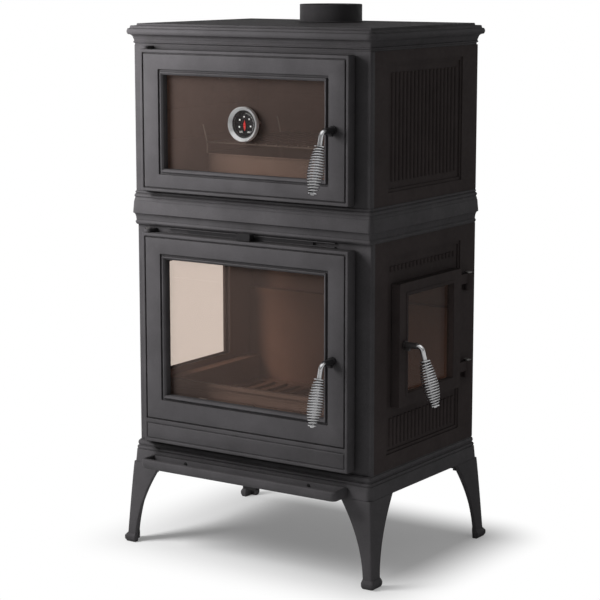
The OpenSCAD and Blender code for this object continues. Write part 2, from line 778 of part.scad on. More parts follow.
top_profile = concat(
    [[0, z_top], [-1, z_top + 0.6], [-1, z_top + 4]],
    bead(0.6, 1.8, z_top + 4, z_top + 8.4),
    [[1.6, z_top + 12.7]],
    hollow(2.4, z_top + 12.7, 12.6, z_top + 21.4),
    bead(13.4, 2.3, z_top + 21.6, z_top + 32.9, 6),
    [[9.4, z_top + 33.4], [8.7, z_top + 37.6], [7.6, z_top + 38.5], [-4.2, z_top + 38.5],
     [-4.7, z_cap - 0.8], [-5.6, z_cap], [-30, z_cap], [-30, z_cap - plate_t], [-side_t, z_cap - plate_t],
     [-side_t, z_top]]);
collar_y = body_d - collar_back;
module top_plate() {
    color(IRON) placed() {
        moulding(top_profile);
        difference() {
            block(-half_w + 28, half_w - 28, 28, body_d - 28, z_cap - plate_t, z_cap);
            translate([0, collar_y, z_cap - 20]) cylinder(r = collar_bore + 1, h = 40, $fn = 96);
        }
    }
}
collar_foot = 2.3;
collar_foot_h = 1.6;
fillet_r = 1.8;
module flue_collar() {
    color(IRON) placed() translate([0, collar_y, z_cap]) difference() {
        rotate_extrude($fn = 96) polygon(concat(
            [[collar_bore, 0], [collar_r + collar_foot, 0], [collar_r + collar_foot, collar_foot_h]],
            [for (a = [0:30:90]) [collar_r + fillet_r * (1 - sin(a)),
                collar_foot_h + fillet_r * (1 - cos(a))]],
            [[collar_r, collar_h - 1.2], [collar_r - 1.2, collar_h], [collar_bore + 1, collar_h],
             [collar_bore, collar_h - 1]]));
    }
}

// Bolts of the legs, and screws of the ash shelf and the fixed window
module casing_bolts() {
    color(STEEL) placed() at_leg_bolts() {
        translate([0, 0, -lug_h - 5.5]) cylinder(r = 7, h = 5.2, $fn = 6);
        translate([0, 0, -lug_h - 1]) cylinder(r = bolt_r, h = bolt_len + lug_h - 2);
    }
}
module casing_screws() {
    color(STEEL) placed() {
        at_shelf_screws() rotate([90, 0, 0]) {
            translate([0, 0, -4.9]) cylinder(r = screw_r, h = 5.5);
            translate([0, 0, 0.3]) cylinder(r1 = 4.5, r2 = 3, h = 2);
        }
        at_window_screws() rotate([0, -90, 0]) {
            translate([0, 0, -4]) cylinder(r = screw_r - pin_clear, h = window_t + 4.5);
            translate([0, 0, window_t + 0.3]) cylinder(r1 = 4.5, r2 = 3, h = 2);
        }
    }
}

// Fixed window in the left side
window_t = 13;
window_x = -half_w + panel_depth;
window_glass_in = 3;
window_screw_in = 5.5;
module at_window_screws() {
    in = window_screw_in;
    for (y = [window_y0 + in, window_y1 - in]) for (z = [window_z0 + in, window_z1 - in])
        translate([window_x, y, z]) children();
}
// Rectangle as large as the left window, less a margin all round
module window_square(m) {
    translate([window_y0 + m, window_z0 + m])
        square([window_y1 - window_y0 - 2 * m, window_h - 2 * m]);
}
module window_frame_left() {
    color(DARK_IRON) placed() difference() {
        sideways(window_x - window_t, window_x)
            frame_2d(window_y0, window_y1, window_z0, window_z1, window_rim, 4);
        sideways(window_x - window_glass_in - glass_t - fit_gap, window_x + 1)
            window_square(window_rim - glass_lap);
        at_window_screws() rotate([0, -90, 0]) translate([0, 0, -1])
            cylinder(r = screw_r, h = window_t + 2);
    }
}
module window_glass_left() {
    color(GLASS) placed() sideways(window_x - window_glass_in - glass_t, window_x - window_glass_in)
        window_square(window_rim - glass_lap + fit_gap);
}

// ---- Inside the oven and the firebox ----

liner_back = 31;
liner_y1 = body_d - liner_back;
liner_flange = 8;
rack_ledges = [67, 127, 187];
ledge_reach = 5;
ledge_end = 14;
liner_z1 = oven_open_z1;
module oven_liner() {
    o = oven_half + liner_t;
    y0 = front_t;
    color(STEEL) placed() {
        difference() {
            union() {
                block(-o, o, y0, liner_y1 + liner_t, oven_open_z0 - liner_t, liner_z1 + liner_t);
                block(-o - liner_flange, o + liner_flange, y0, y0 + liner_t,
                      oven_open_z0 - 12, liner_z1 + liner_flange);
            }
            block(-oven_half, oven_half, y0 - 1, liner_y1, oven_open_z0, liner_z1);
        }
        for (s = [-1, 1]) for (up = rack_ledges) mirror([s < 0 ? 1 : 0, 0, 0])
            block(oven_half - ledge_reach, oven_half + 1, y0 + ledge_end, liner_y1 - ledge_end,
                  oven_open_z0 + up, oven_open_z0 + up + liner_t);
    }
}
tray_y0 = 62;
tray_back = 45;
tray_y1 = liner_y1 - tray_back;
tray_h = 46;
tray_t = 1.5;
module roasting_tray() {
    z = oven_open_z0 + fit_gap;
    color(STEEL) placed() translate([0, 0, z]) difference() {
        union() {
            linear_extrude(tray_h) round_rect(-tray_half + 4, tray_half - 4, tray_y0 + 4, tray_y1 - 4, 16);
            translate([0, 0, tray_h - 2]) linear_extrude(2)
                round_rect(-tray_half, tray_half, tray_y0, tray_y1, 20);
        }
        translate([0, 0, tray_t]) linear_extrude(tray_h)
            round_rect(-tray_half + 4 + tray_t, tray_half - 4 - tray_t, tray_y0 + 4 + tray_t,
                tray_y1 - 4 - tray_t, 14.5);
    }
}
// Wire rack that stands on the tray's rim
rack_half = tray_half - 8;
rack_foot = oven_open_z0 + 2 * fit_gap + tray_h;
rack_z = rack_foot + 22;
rack_end_h = 36;
rack_end_lean = 16;
module oven_rack() {
    r = rack_wire_r;
    y0 = tray_y0 + 1;
    y1 = tray_y1 - 1;
    n = floor((2 * rack_half - 10) / (2 * rack_pitch));
    color(CHROME) placed() {
        for (y = [y0 + r, y1 - r]) translate([-rack_half, y, rack_z])
            rotate([0, 90, 0]) cylinder(r = r, h = 2 * rack_half, $fn = 24);
        for (i = [-n:n]) translate([i * rack_pitch, y0 - 3, rack_z + 1.55 * r])
            rotate([-90, 0, 0]) cylinder(r = 0.75 * r, h = y1 - y0 + 6, $fn = 24);
        for (s = [-1, 1]) for (y = [y0 + r, y1 - r]) {
            translate([s * (rack_half - r), y, rack_z]) rotate([0, s * rack_end_lean, 0])
                cylinder(r = 0.9 * r, h = rack_end_h, $fn = 24);
            translate([s * (rack_half - r), y, rack_foot])
                cylinder(r = 0.95 * r, h = rack_z - rack_foot, $fn = 24);
        }
    }
}
module smoke_baffle() {
    color(DARK_IRON) placed()
        block(-inner_half + fit_gap, inner_half - fit_gap, baffle_y0, rear_inner - fit_gap,
            baffle_z + 0.1, baffle_z + baffle_t);
}
cheek_y0 = 70;
grate_z = z_fire + grate_up;
ledge_w = 15;
module cheek(s) {
    mirror([s < 0 ? 1 : 0, 0, 0]) {
        block(inner_half - fit_gap - cheek_t - ledge_w, inner_half - fit_gap, cheek_y0,
            fireback_y0 - fit_gap, z_fire, grate_z);
        block(inner_half - fit_gap - cheek_t, inner_half - fit_gap, cheek_y0, fireback_y0 - fit_gap,
            grate_z, z_fire + cheek_h);
    }
}
module cheek_left() { color(DARK_IRON) placed() cheek(-1); }
module cheek_right() { color(DARK_IRON) placed() cheek(1); }
fireback_t = 14;
fireback_y0 = rear_inner - fit_gap - fireback_t;
fire_half = inner_half - fit_gap - cheek_t;
module fireback() {
    color(DARK_IRON) placed() {
        block(-inner_half + 1, inner_half - 1, fireback_y0, rear_inner - fit_gap, z_fire,
            z_fire + fireback_h);
        block(-inner_half + 1, inner_half - 1, fireback_y0 - 6, fireback_y0 + 1,
            z_fire + fireback_h - 14, z_fire + fireback_h);
    }
}
grate_t = 14;
slot_count = 14;
module grate() {
    w = fire_half - fit_gap;
    y0 = cheek_y0 + 2;
    y1 = fireback_y0 - fit_gap;
    pitch = 2 * (w - 16) / slot_count;
    color(DARK_IRON) placed() difference() {
        block(-w, w, y0, y1, grate_z, grate_z + grate_t);
        for (i = [0:slot_count - 1]) block(-w + 16 + (i + 0.25) * pitch, -w + 16 + (i + 0.75) * pitch,
                                            y0 + 24, y1 - 24, grate_z - 1, grate_z + grate_t + 1);
    }
}
retainer_t = 9;
retainer_y0 = cheek_y0 - fit_gap - retainer_t;
retainer_over = 4;
retainer_foot = 26;
// Horizontal steps of the retainer's face: lower and upper edge below its top, and how far they stand out
retainer_steps = [[8, 0, 3], [30, 17, 1.6], [46, 35, 1.6]];
module log_retainer() {
    w = fire_half;
    y1 = retainer_y0 + retainer_t;
    z1 = z_fire + cheek_h + retainer_over;
    color(DARK_IRON) placed() {
        block(-w, w, retainer_y0, y1, grate_z, z1);
        for (s = [-1, 1]) mirror([s < 0 ? 1 : 0, 0, 0])
            block(w - retainer_foot, w, retainer_y0, y1, z_fire, grate_z + 1);
        for (p = retainer_steps)
            block(-w, w, retainer_y0 - p[2], retainer_y0 + 1, z1 - p[0], z1 - p[1]);
    }
}
pan_side = 66;
pan_half = fire_half - pan_side;
pan_t = 2;
pan_z = rail_top + 0.1;
pan_grip_half = 50;
pan_grip_out = 20;
pan_grip_t = 3;
pan_grip_bar = 10;
module ash_pan() {
    h = grate_z - pan_z - 4;
    y0 = cheek_y0 + 4;
    y1 = fireback_y0 - 8;
    hole = pan_grip_half - pan_grip_bar;
    grip_z = pan_z + h - 12;
    color(STEEL) placed() {
        difference() {
            block(-pan_half, pan_half, y0, y1, pan_z, pan_z + h);
            block(-pan_half + pan_t, pan_half - pan_t, y0 + pan_t, y1 - pan_t, pan_z + pan_t,
                pan_z + h + 1);
        }
        difference() {
            block(-pan_grip_half, pan_grip_half, y0 - pan_grip_out, y0 + 1, grip_z, grip_z + pan_grip_t);
            block(-hole, hole, y0 - pan_grip_out + 4, y0 - 6, grip_z - 1, grip_z + pan_grip_t + 1);
        }
    }
}

// ---- Front doors ----

// Casting of a front door: from z0 to z1, its back at y_back, and its glass opening
module door_casting(z0, z1, y_back, g0, g1) {
    y0 = -door_out;
    field = door_lip + lip_groove;
    difference() {
        union() {
            facing(y0, y_back) round_rect(-door_half, door_half, z0, z1, 2);
            facing(y0 - 1.2, y0 + 1) frame_2d(-glass_half - bead_w + 2, glass_half + bead_w - 2,
                g0 - bead_w + 2, g1 + bead_w - 2, bead_w - 3, 2);
        }
        translate([-door_half - 0.01, y_back + 0.01, z0 - 1]) rotate([0, 0, -45])
            translate([hinge_bevel - 9, -6, 0]) cube([9, 12, z1 - z0 + 2]);
        facing(y0 - 3, y_back + 1) translate([-glass_half, g0]) square([2 * glass_half, g1 - g0]);
        facing(y0 + glass_in, y_back + 1) translate([-glass_half - glass_lap, g0 - glass_lap])
            square([2 * (glass_half + glass_lap), g1 - g0 + 2 * glass_lap]);
        facing(y0 - 1, y0 + groove_d) frame_2d(-glass_half - bead_w - 1, glass_half + bead_w + 1,
            g0 - bead_w - 1, g1 + bead_w + 1, 2.4, 2);
        facing(y_back - 3, y_back + 1) frame_2d(-seal_half, seal_half, z0 + seal_in, z1 - seal_in,
            seal_face, 2);
        for (z = [z0 - 1, z1 - pin_depth]) translate([hinge_x, hinge_y, z])
            cylinder(r = pin_r + pin_clear, h = pin_depth + 1);
    }
}
seal_in = 9;
hinge_bevel = 2.8;
module panel_groove(x, z0, z1) {
    facing(-door_out - 1, -door_out + groove_d) frame_2d(-x, x, z0, z1, lip_groove, 1.5);
}
fire_g0 = fire_z0 + fire_glass_low;
fire_g1 = fire_z1 - fire_glass_top;
oven_g0 = oven_z0 + oven_glass_low;
oven_g1 = oven_z1 - oven_glass_top;
fire_back_y = lower_setback - door_gap;
oven_back_y = -door_gap;
panel_top = fire_z0 + door_lip + low_panel_h;
module fire_door() {
    color(IRON) placed() difference() {
        door_casting(fire_z0, fire_z1, fire_back_y, fire_g0, fire_g1);
        panel_groove(door_half - door_lip, panel_top + rail_h, fire_z1 - door_lip);
        panel_groove(door_half - door_lip, fire_z0 + door_lip, panel_top);
        at_fire_handle() shaft_bore();
    }
}
module oven_door() {
    color(IRON) placed() difference() {
        door_casting(oven_z0, oven_z1, oven_back_y, oven_g0, oven_g1);
        panel_groove(door_half - door_lip, oven_z0 + door_lip, oven_z1 - door_lip);
        at_oven_handle() shaft_bore();
    }
}
bore_over = 20;
bore_l = 80;
module shaft_bore() {
    rotate([0, -90, 0]) translate([0, 0, -bore_over]) cylinder(r = shaft_r + pin_clear, h = bore_l);
}
module door_seal(z0, z1, y_back, y_frame) {
    facing(y_back - 3 + 0.01, y_frame - fit_gap)
        frame_2d(-seal_half + fit_gap, seal_half - fit_gap, z0 + seal_in + fit_gap,
            z1 - seal_in - fit_gap, seal_face - 2 * fit_gap, 2);
}
module fire_door_seal() { color(ROPE) placed() door_seal(fire_z0, fire_z1, fire_back_y, lower_setback); }
module oven_door_seal() { color(ROPE) placed() door_seal(oven_z0, oven_z1, oven_back_y, 0); }

// Glass pane behind an opening from g0 to g1
module pane(g0, g1) {
    lap = glass_lap - fit_gap;
    facing(-door_out + glass_in, -door_out + glass_in + glass_t)
        translate([-glass_half - lap, g0 - lap]) square([2 * (glass_half + lap), g1 - g0 + 2 * lap]);
}
module fire_door_glass() { color(GLASS) placed() pane(fire_g0, fire_g1); }
module oven_door_glass() {
    color(GLASS) placed() difference() {
        pane(oven_g0, oven_g1);
        at_thermometer() rotate([90, 0, 0]) cylinder(r = stem_r + 0.2, h = 60, center = true);
    }
}

// Clips that hold a pane: a foot on the glass, a plate on the door's back and a screw head
clip_w = 22;
clip_t = 1.4;
module clip(y_back, g) {
    foot_y = -door_out + glass_in + glass_t;
    block(-clip_w / 2, clip_w / 2, foot_y, y_back + clip_t, -glass_lap + 1.5, -1.5);
    block(-clip_w / 2, clip_w / 2, y_back, y_back + clip_t, -glass_lap - 6.5, -1.5);
    translate([0, y_back + clip_t + 1, -glass_lap - 3]) rotate([90, 0, 0])
        cylinder(r = 2.6, h = 1.2, $fn = 20);
}
module pane_clips(y_back, g0, g1) {
    for (x = [-0.6, 0, 0.6]) {
        translate([x * glass_half, 0, g0]) clip(y_back);
        translate([x * glass_half, 0, g1]) mirror([0, 0, 1]) clip(y_back);
    }
}
module fire_glass_clips() { color(STEEL) placed() pane_clips(fire_back_y, fire_g0, fire_g1); }
module oven_glass_clips() { color(STEEL) placed() pane_clips(oven_back_y, oven_g0, oven_g1); }

// Pins of the front doors' lugs, and of the side hinges
module hinge_pin(z0, z1, head_z) {
    translate([hinge_x, hinge_y, z0]) cylinder(r = pin_r - 0.01, h = z1 - z0);
    if (head_z > 0) translate([hinge_x, hinge_y, head_z]) cylinder(r = pin_r + 1.5, h = 2);
}
module hinge_pins() {
    drop = pin_depth - 1.5;
    color(STEEL) placed() {
        hinge_pin(fire_z0 - fit_gap - lug_t, fire_z0 + drop, 0);
        hinge_pin(fire_z1 - drop, fire_z1 + fire_lug_gap + fire_top_lug_t,
            fire_z1 + fire_lug_gap + fire_top_lug_t);
        hinge_pin(oven_z0 - fit_gap - thin_lug_t, oven_z0 + drop, 0);
        hinge_pin(oven_z1 - drop, oven_z1 + oven_lug_gap + oven_top_lug_t, 0);
        for (z = [barrel_low_z, barrel_top_z]) translate([side_axis_x, side_axis_y, z]) {
            cylinder(r = pin_r - 0.01, h = barrel_h + 0.5);
            translate([0, 0, barrel_h + 0.4]) cylinder(r = barrel_r - 3, h = 2.4);
        }
    }
}

// ---- Handles ----

// A handle's own frame: +x out of the door, +z up, origin on the door's face at the shaft
module at_oven_handle() {
    translate([handle_x, -door_out, oven_z0 + oven_handle_up]) rotate([0, 0, -90]) children();
}
module at_fire_handle() {
    translate([handle_x, -door_out, fire_z0 + fire_handle_up]) rotate([0, 0, -90]) children();
}
module at_side_handle() {
    translate([side_x1, side_y0 + side_handle_in, side_z0 + side_handle_up]) children();
}

// Latch shaft through a door of the given thickness; its tongue points away from the hinge
tongue_l = 14;
tongue_t = 6;
tongue_half = 5;
collar_grow = 2.5;
boss_drop = 5;
side_collar_r = min(shaft_r + collar_grow,
                    side_stile - side_bead_reach - side_handle_in - fit_gap);
module latch_shaft(inner, washer_r) {
    rotate([0, 90, 0]) translate([0, 0, -inner]) cylinder(r = shaft_r, h = inner + shaft_out - 0.2);
    rotate([0, 90, 0]) translate([0, 0, fit_gap]) cylinder(r = washer_r, h = 5);
    translate([5, -4, -shaft_r - boss_drop]) cube([8, 8, shaft_r + boss_drop]);
}
module tongue(inner, angle) {
    translate([-inner, 0, 0]) rotate([angle, 0, 0]) translate([0, 0, -tongue_half])
        cube([tongue_t, tongue_l, 2 * tongue_half]);
}
module handle_rod() {
    translate([shaft_out, 0, -rod_bend_r]) rotate([90, 0, 0]) rotate([0, 0, 90 - turn])
        rotate_extrude(angle = turn, $fn = 64) translate([rod_bend_r, 0]) circle(rod_r - 0.15, $fn = 32);
    at_grip(-rod_bare - 0.01) cylinder(r = rod_r, h = rod_bare + grip_l + 1, $fn = 32);
    at_grip(-washer_t) cylinder(r = grip_r_top, h = washer_t);
    at_grip(grip_l) cylinder(r = grip_r_low + 0.4, h = washer_t);
    at_grip(grip_l + washer_t - 0.1) cylinder(r1 = rivet_r, r2 = rivet_r - 1.4, h = rivet_h + 0.1);
}
// Places a thing on the grip's line, its +z along the grip and away from the bend
module at_grip(along) {
    translate([grip_start[0], 0, grip_start[1]]) rotate([0, 180 - grip_lean, 0])
        translate([0, 0, along]) children();
}
module handle_spring() {
    at_grip(0) polyhedron(coil_points, coil_faces, convexity = 20);
}
fire_door_t = door_out + fire_back_y;
oven_door_t = door_out + oven_back_y;
front_inner = front_t + 11;
side_inner = side_door_t + 9;
module oven_latch_shaft() {
    color(BLACK) placed() at_oven_handle() {
        latch_shaft(oven_door_t + front_inner, shaft_r + collar_grow);
        tongue(oven_door_t + front_inner, 0);
    }
}
module fire_latch_shaft() {
    color(BLACK) placed() at_fire_handle() {
        latch_shaft(fire_door_t + front_inner, shaft_r + collar_grow);
        tongue(fire_door_t + front_inner, 0);
    }
}
module side_latch_shaft() {
    color(BLACK) placed() at_side_handle() {
        latch_shaft(side_inner, side_collar_r);
        tongue(side_inner, -90);
    }
}
module oven_handle_rod() { color(CHROME) placed() at_oven_handle() handle_rod(); }
module fire_handle_rod() { color(CHROME) placed() at_fire_handle() handle_rod(); }
module side_handle_rod() { color(CHROME) placed() at_side_handle() handle_rod(); }
module oven_handle_spring() { color(CHROME) placed() at_oven_handle() handle_spring(); }
module fire_handle_spring() { color(CHROME) placed() at_fire_handle() handle_spring(); }
module side_handle_spring() { color(CHROME) placed() at_side_handle() handle_spring(); }

// ---- Thermometer on the oven glass ----

thermo_z = (oven_g0 + oven_g1) / 2 + 4;
bezel_y1 = -door_out + glass_in - 0.1;
bezel_y0 = bezel_y1 - 13;
dial_y = bezel_y0 + dial_in;
stem_r = 4;
lens_in = 3.4;
needle_r = 1;
module at_thermometer() {
    translate([0, 0, thermo_z]) children();
}
module thermometer_case() {
    color(CHROME) placed() at_thermometer() {
        translate([0, bezel_y1, 0]) rotate([90, 0, 0]) rotate_extrude($fn = 96) polygon([
            [0, 0], [bezel_r - 3, 0], [bezel_r, 3], [bezel_r, 11], [bezel_r - 1.2, 13],
                [bezel_r - 2.2, 12.6],
            [dial_r, bezel_y1 - dial_y], [dial_r, 1], [0, 1]]);
        translate([0, probe_l + bezel_y1, 0]) rotate([90, 0, 0])
            cylinder(r = stem_r - 0.6, h = probe_l + 0.5);
    }
}
module thermometer_dial() {
    color(BLACK) placed() at_thermometer() translate([0, bezel_y1 - 1, 0]) rotate([90, 0, 0]) difference() {
        cylinder(r = dial_r - 0.1, h = bezel_y1 - 1 - dial_y, $fn = 96);
        translate([0, 0, -1]) cylinder(r = needle_r + pin_clear, h = 5);
    }
}
module thermometer_lens() {
    slope = (bezel_r - 2.2 - dial_r) / (12.6 - bezel_y1 + dial_y);
    color(GLASS) placed() at_thermometer() translate([0, dial_y - lens_in, 0]) rotate([90, 0, 0])
        cylinder(r = dial_r + slope * lens_in - 0.25, h = 1, $fn = 96);
}
module thermometer_needle() {
    color("#b01814") placed() at_thermometer() {
        translate([0, dial_y - 0.5, 0]) rotate([90, 0, 0]) linear_extrude(0.6)
            polygon([[0, 8], [2.6, -5], [0, -13], [-2.6, -5]]);
        translate([0, dial_y + 0.6, 0]) rotate([90, 0, 0]) cylinder(r = needle_r, h = 1.8);
        translate([0, dial_y - 0.9, 0]) rotate([90, 0, 0]) cylinder(r = 2.6, h = 0.8);
    }
}

// ---- Side door ----

module side_door() {
    color(IRON) placed() difference() {
        union() {
            sideways(side_x0, side_x1) round_rect(side_y0, side_y1, side_z0, side_z1, 3);
            sideways(side_x1 - 1, side_x1 + 1)
                frame_2d(side_y0 + side_stile - side_bead_reach, side_y1 - side_stile + side_bead_reach,
                         side_z0 + side_rail - side_bead_reach, side_z1 - side_rail + side_bead_reach,
                             side_bead_reach - 1, 2);
            for (z = [barrel_low_z, barrel_top_z])
                door_knuckle(z + barrel_h * knuckle_split + fit_gap, z + barrel_h);
        }
        sideways(side_x0 - 1, side_x1 + 2) translate([side_y0 + side_stile, side_z0 + side_rail])
            square([side_door_w - 2 * side_stile, side_door_h - 2 * side_rail]);
        sideways(side_x0 - 1, side_x0 + 8) translate([side_y0 + side_stile - glass_lap,
            side_z0 + side_rail - glass_lap])
            square([side_door_w - 2 * side_stile + 2 * glass_lap,
                side_door_h - 2 * side_rail + 2 * glass_lap]);
        sideways(side_x0 - 1, side_x0 + 3) side_seal_2d(0);
        at_side_handle() shaft_bore();
    }
}
module door_knuckle(z0, z1) {
    difference() {
        union() {
            translate([side_axis_x, side_axis_y, z0]) cylinder(r = barrel_r, h = z1 - z0);
            block(side_axis_x - 4, side_axis_x + 3, side_y1 - 2, side_axis_y, z0, z1);
        }
        translate([side_axis_x, side_axis_y, z0 - 1]) cylinder(r = pin_r + pin_clear, h = z1 - z0 + 2);
    }
}
side_seal_w = 5;
module side_seal_2d(gap) {
    m = side_land - side_seal_w - 2;
    frame_2d(side_y0 + m + gap, side_y1 - m - gap, side_z0 + m + gap, side_z1 - m - gap,
        side_seal_w - 2 * gap, 2);
}
module side_door_seal() {
    color(ROPE) placed() sideways(half_w - panel_depth + fit_gap, side_x0 + 2.99) side_seal_2d(fit_gap);
}
module side_door_glass() {
    lap = glass_lap - fit_gap;
    color(GLASS) placed() sideways(side_x0 + 8 - glass_t, side_x0 + 8)
        translate([side_y0 + side_stile - lap, side_z0 + side_rail - lap])
            square([side_door_w - 2 * side_stile + 2 * lap, side_door_h - 2 * side_rail + 2 * lap]);
}
module side_glass_clips() {
    foot = side_x0 + 8 - glass_t;
    color(STEEL) placed() for (y = [0.3, 0.7]) for (k = [0, 1]) {
        z = k == 0 ? side_z0 + side_rail : side_z1 - side_rail;
        translate([0, side_y0 + y * side_door_w, z]) mirror([0, 0, k]) {
            block(side_x0 - clip_t, foot, -clip_w / 2, clip_w / 2, -glass_lap + 1.5, -1.5);
            block(side_x0 - clip_t, side_x0, -clip_w / 2, clip_w / 2, -glass_lap - 1, -1.5);
        }
    }
}

// ---- Air controls ----

// Black knob that is slightly wider at its top; its face points to the front
module slide_knob() {
    facing(-7, 7) polygon([[-knob_w / 2 + 2, 0], [knob_w / 2 - 2, 0], [knob_w / 2 - 0.5, 2.5],
        [knob_w / 2, knob_h - 2], [knob_w / 2 - 2, knob_h], [-knob_w / 2 + 2, knob_h],
        [-knob_w / 2, knob_h - 2], [-knob_w / 2 + 0.5, 2.5]]);
}
airwash_knob_y = -13;
knob_drop = 20;
module airwash_slide() {
    y1 = lower_setback - fit_gap;
    color(BLACK) placed() {
        block(-air_bar_half, air_bar_half, y1 - 4, y1, air_bar_z0, air_bar_z0 + air_bar_h);
        block(-6, 6, airwash_knob_y, y1 - 1, air_bar_z0 + 1, air_bar_z0 + air_bar_h - 1);
        translate([0, airwash_knob_y, slot_z0 + 0.8]) slide_knob();
    }
}
module lower_air_slide() {
    y0 = air_hole_y - 8 + fit_gap;
    y1 = air_hole_y + air_hole[1] + 8 - fit_gap;
    z1 = base_floor - fit_gap / 2;
    knob_z = z_base - knob_drop;
    color(BLACK) placed() {
        block(-air_hole[0] / 2 - 12, air_hole[0] / 2 + 12, y0, y1, z1 - air_plate_t, z1);
        block(-5, 5, air_hole_y, air_hole_y + 5, knob_z + 2, z1 - 1);
        block(-5, 5, 5, air_hole_y + 5, knob_z + 2, knob_z + knob_h - 2);
        translate([0, 5, knob_z]) slide_knob();
    }
}

base_plate();
leg_front_left();
leg_front_right();
leg_rear_left();
leg_rear_right();
ash_shelf();
fire_front();
fire_side_right();
fire_side_left();
fire_back();
waist_plate();
oven_front();
oven_side_right();
oven_side_left();
oven_back();
top_plate();
flue_collar();
casing_bolts();
casing_screws();
hinge_pins();
oven_liner();
oven_rack();
roasting_tray();
smoke_baffle();
cheek_left();
cheek_right();
fireback();
grate();
log_retainer();
ash_pan();
window_frame_left();
window_glass_left();
oven_door();
oven_door_glass();
oven_glass_clips();
oven_door_seal();
thermometer_case();
thermometer_dial();
thermometer_lens();
thermometer_needle();
oven_latch_shaft();
oven_handle_rod();
oven_handle_spring();
fire_door();
fire_door_glass();
fire_glass_clips();
fire_door_seal();
fire_latch_shaft();
fire_handle_rod();
fire_handle_spring();
side_door();
side_door_glass();
side_glass_clips();
side_door_seal();
side_latch_shaft();
side_handle_rod();
side_handle_spring();
airwash_slide();
lower_air_slide();
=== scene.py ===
"""Looks of the cast iron range cooker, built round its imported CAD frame.

Sizes are millimetres in the casing's own frame: x from the middle of the casing, y from the upper
front face towards the back, z from the floor. Shape.piece() turns them into the row's metres.
"""
import math

import bmesh
import bpy
from mathutils import Matrix, Vector

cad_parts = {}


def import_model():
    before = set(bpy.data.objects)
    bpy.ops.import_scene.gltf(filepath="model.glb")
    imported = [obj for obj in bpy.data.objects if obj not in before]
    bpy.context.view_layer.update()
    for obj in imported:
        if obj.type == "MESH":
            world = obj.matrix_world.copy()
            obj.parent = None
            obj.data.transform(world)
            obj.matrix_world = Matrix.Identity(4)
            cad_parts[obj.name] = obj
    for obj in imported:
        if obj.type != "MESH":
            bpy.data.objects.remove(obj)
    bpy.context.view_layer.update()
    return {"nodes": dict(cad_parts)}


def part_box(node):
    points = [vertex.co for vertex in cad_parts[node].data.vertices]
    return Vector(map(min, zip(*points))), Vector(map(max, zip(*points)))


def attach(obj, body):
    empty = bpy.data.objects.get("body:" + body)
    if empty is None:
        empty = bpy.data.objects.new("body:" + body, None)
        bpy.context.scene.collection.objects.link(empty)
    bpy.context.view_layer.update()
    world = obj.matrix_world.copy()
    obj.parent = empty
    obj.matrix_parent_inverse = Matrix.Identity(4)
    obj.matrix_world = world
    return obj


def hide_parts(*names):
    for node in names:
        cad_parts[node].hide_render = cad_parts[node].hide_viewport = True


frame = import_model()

MM = 0.001
TAU = 2 * math.pi

# ---- The casing's sizes, from the frame ----

BODY_D = 406
BACK_LO, BACK_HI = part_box("fire_back")
ORIGIN = Vector(((BACK_LO.x + BACK_HI.x) / 2, BACK_HI.y - BODY_D * MM, 0))


def box_mm(node):
    """Lowest and highest corner of a CAD node, in the casing's frame."""
    return [(corner - ORIGIN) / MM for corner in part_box(node)]


HALF_W = box_mm("fire_back")[1].x
Z_BASE = box_mm("base_plate")[0].z
Z_FIRE = box_mm("fire_side_left")[0].z
Z_WAIST = box_mm("waist_plate")[0].z
Z_OVEN = box_mm("waist_plate")[1].z
Z_TOP = box_mm("top_plate")[0].z
Z_CAP = box_mm("top_plate")[1].z
FIRE_DOOR = box_mm("fire_door")
OVEN_DOOR = box_mm("oven_door")
SIDE_T = 10
BACK_T = 8
PLATE_T = 9
EDGE_R = 4
LEG_TOP_OUT = 8.5
FOOT_OUT = 24.4
DOOR_FRONT = -25
SIDE_FACE = HALF_W + 15


# ---- Outlines ----

def mix(a, b, t):
    return a + (b - a) * t


def soft(points, r, n=3, least=15, closed=False):
    """The same line with each corner rounded: a curve that starts r before the corner, or less
    where a side is short."""
    count = len(points)
    out = []
    for i, p in enumerate(points):
        p = Vector(p)
        if not closed and i in (0, count - 1):
            out.append(p)
            continue
        a = Vector(points[i - 1]) - p
        b = Vector(points[(i + 1) % count]) - p
        turn = 180 - math.degrees(a.angle(b, 0))
        if turn < least:
            out.append(p)
            continue
        start = p + a.normalized() * min(r, a.length * 0.45)
        end = p + b.normalized() * min(r, b.length * 0.45)
        for k in range(n + 1):
            t = k / n
            out.append(start.lerp(p, t).lerp(p.lerp(end, t), t))
    return out


def arc(centre, r, a0, a1, n):
    """Points on an arc, in degrees from the first axis towards the second."""
    return [(centre[0] + r * math.cos(math.radians(mix(a0, a1, k / n))),
             centre[1] + r * math.sin(math.radians(mix(a0, a1, k / n)))) for k in range(n + 1)]


def bead(o, swell, z0, z1, n=10):
    """Round bead of a moulding, as points (overhang, height)."""
    return [(o + swell * math.sin(math.pi * i / n), mix(z0, z1, i / n)) for i in range(n + 1)]


def hollow(o0, z0, o1, z1, n=10):
    """Hollow of a moulding, which sweeps out and up."""
    return [(mix(o0, o1, 1 - math.cos(math.pi / 2 * i / n)),
             mix(z0, z1, math.sin(math.pi / 2 * i / n))) for i in range(n + 1)]


def rounded(a0, a1, b0, b1, r, n=5):
    """Rectangle with round corners, from its lower left corner round."""
    r = max(min(r, (a1 - a0) / 2 - 0.01, (b1 - b0) / 2 - 0.01), 0.05)
    out = []
    corners = ((a0 + r, b0 + r, 180), (a1 - r, b0 + r, 270), (a1 - r, b1 - r, 0), (a0 + r, b1 - r, 90))
    for ca, cb, start in corners:
        out += arc((ca, cb), r, start, start + 90, n)
    return out


def facing(points, y):
    """A drawn outline that faces the front, at depth y."""
    return [(a, y, b) for a, b in points]


def flat(points, z):
    return [(a, b, z) for a, b in points]


# ---- Shapes ----

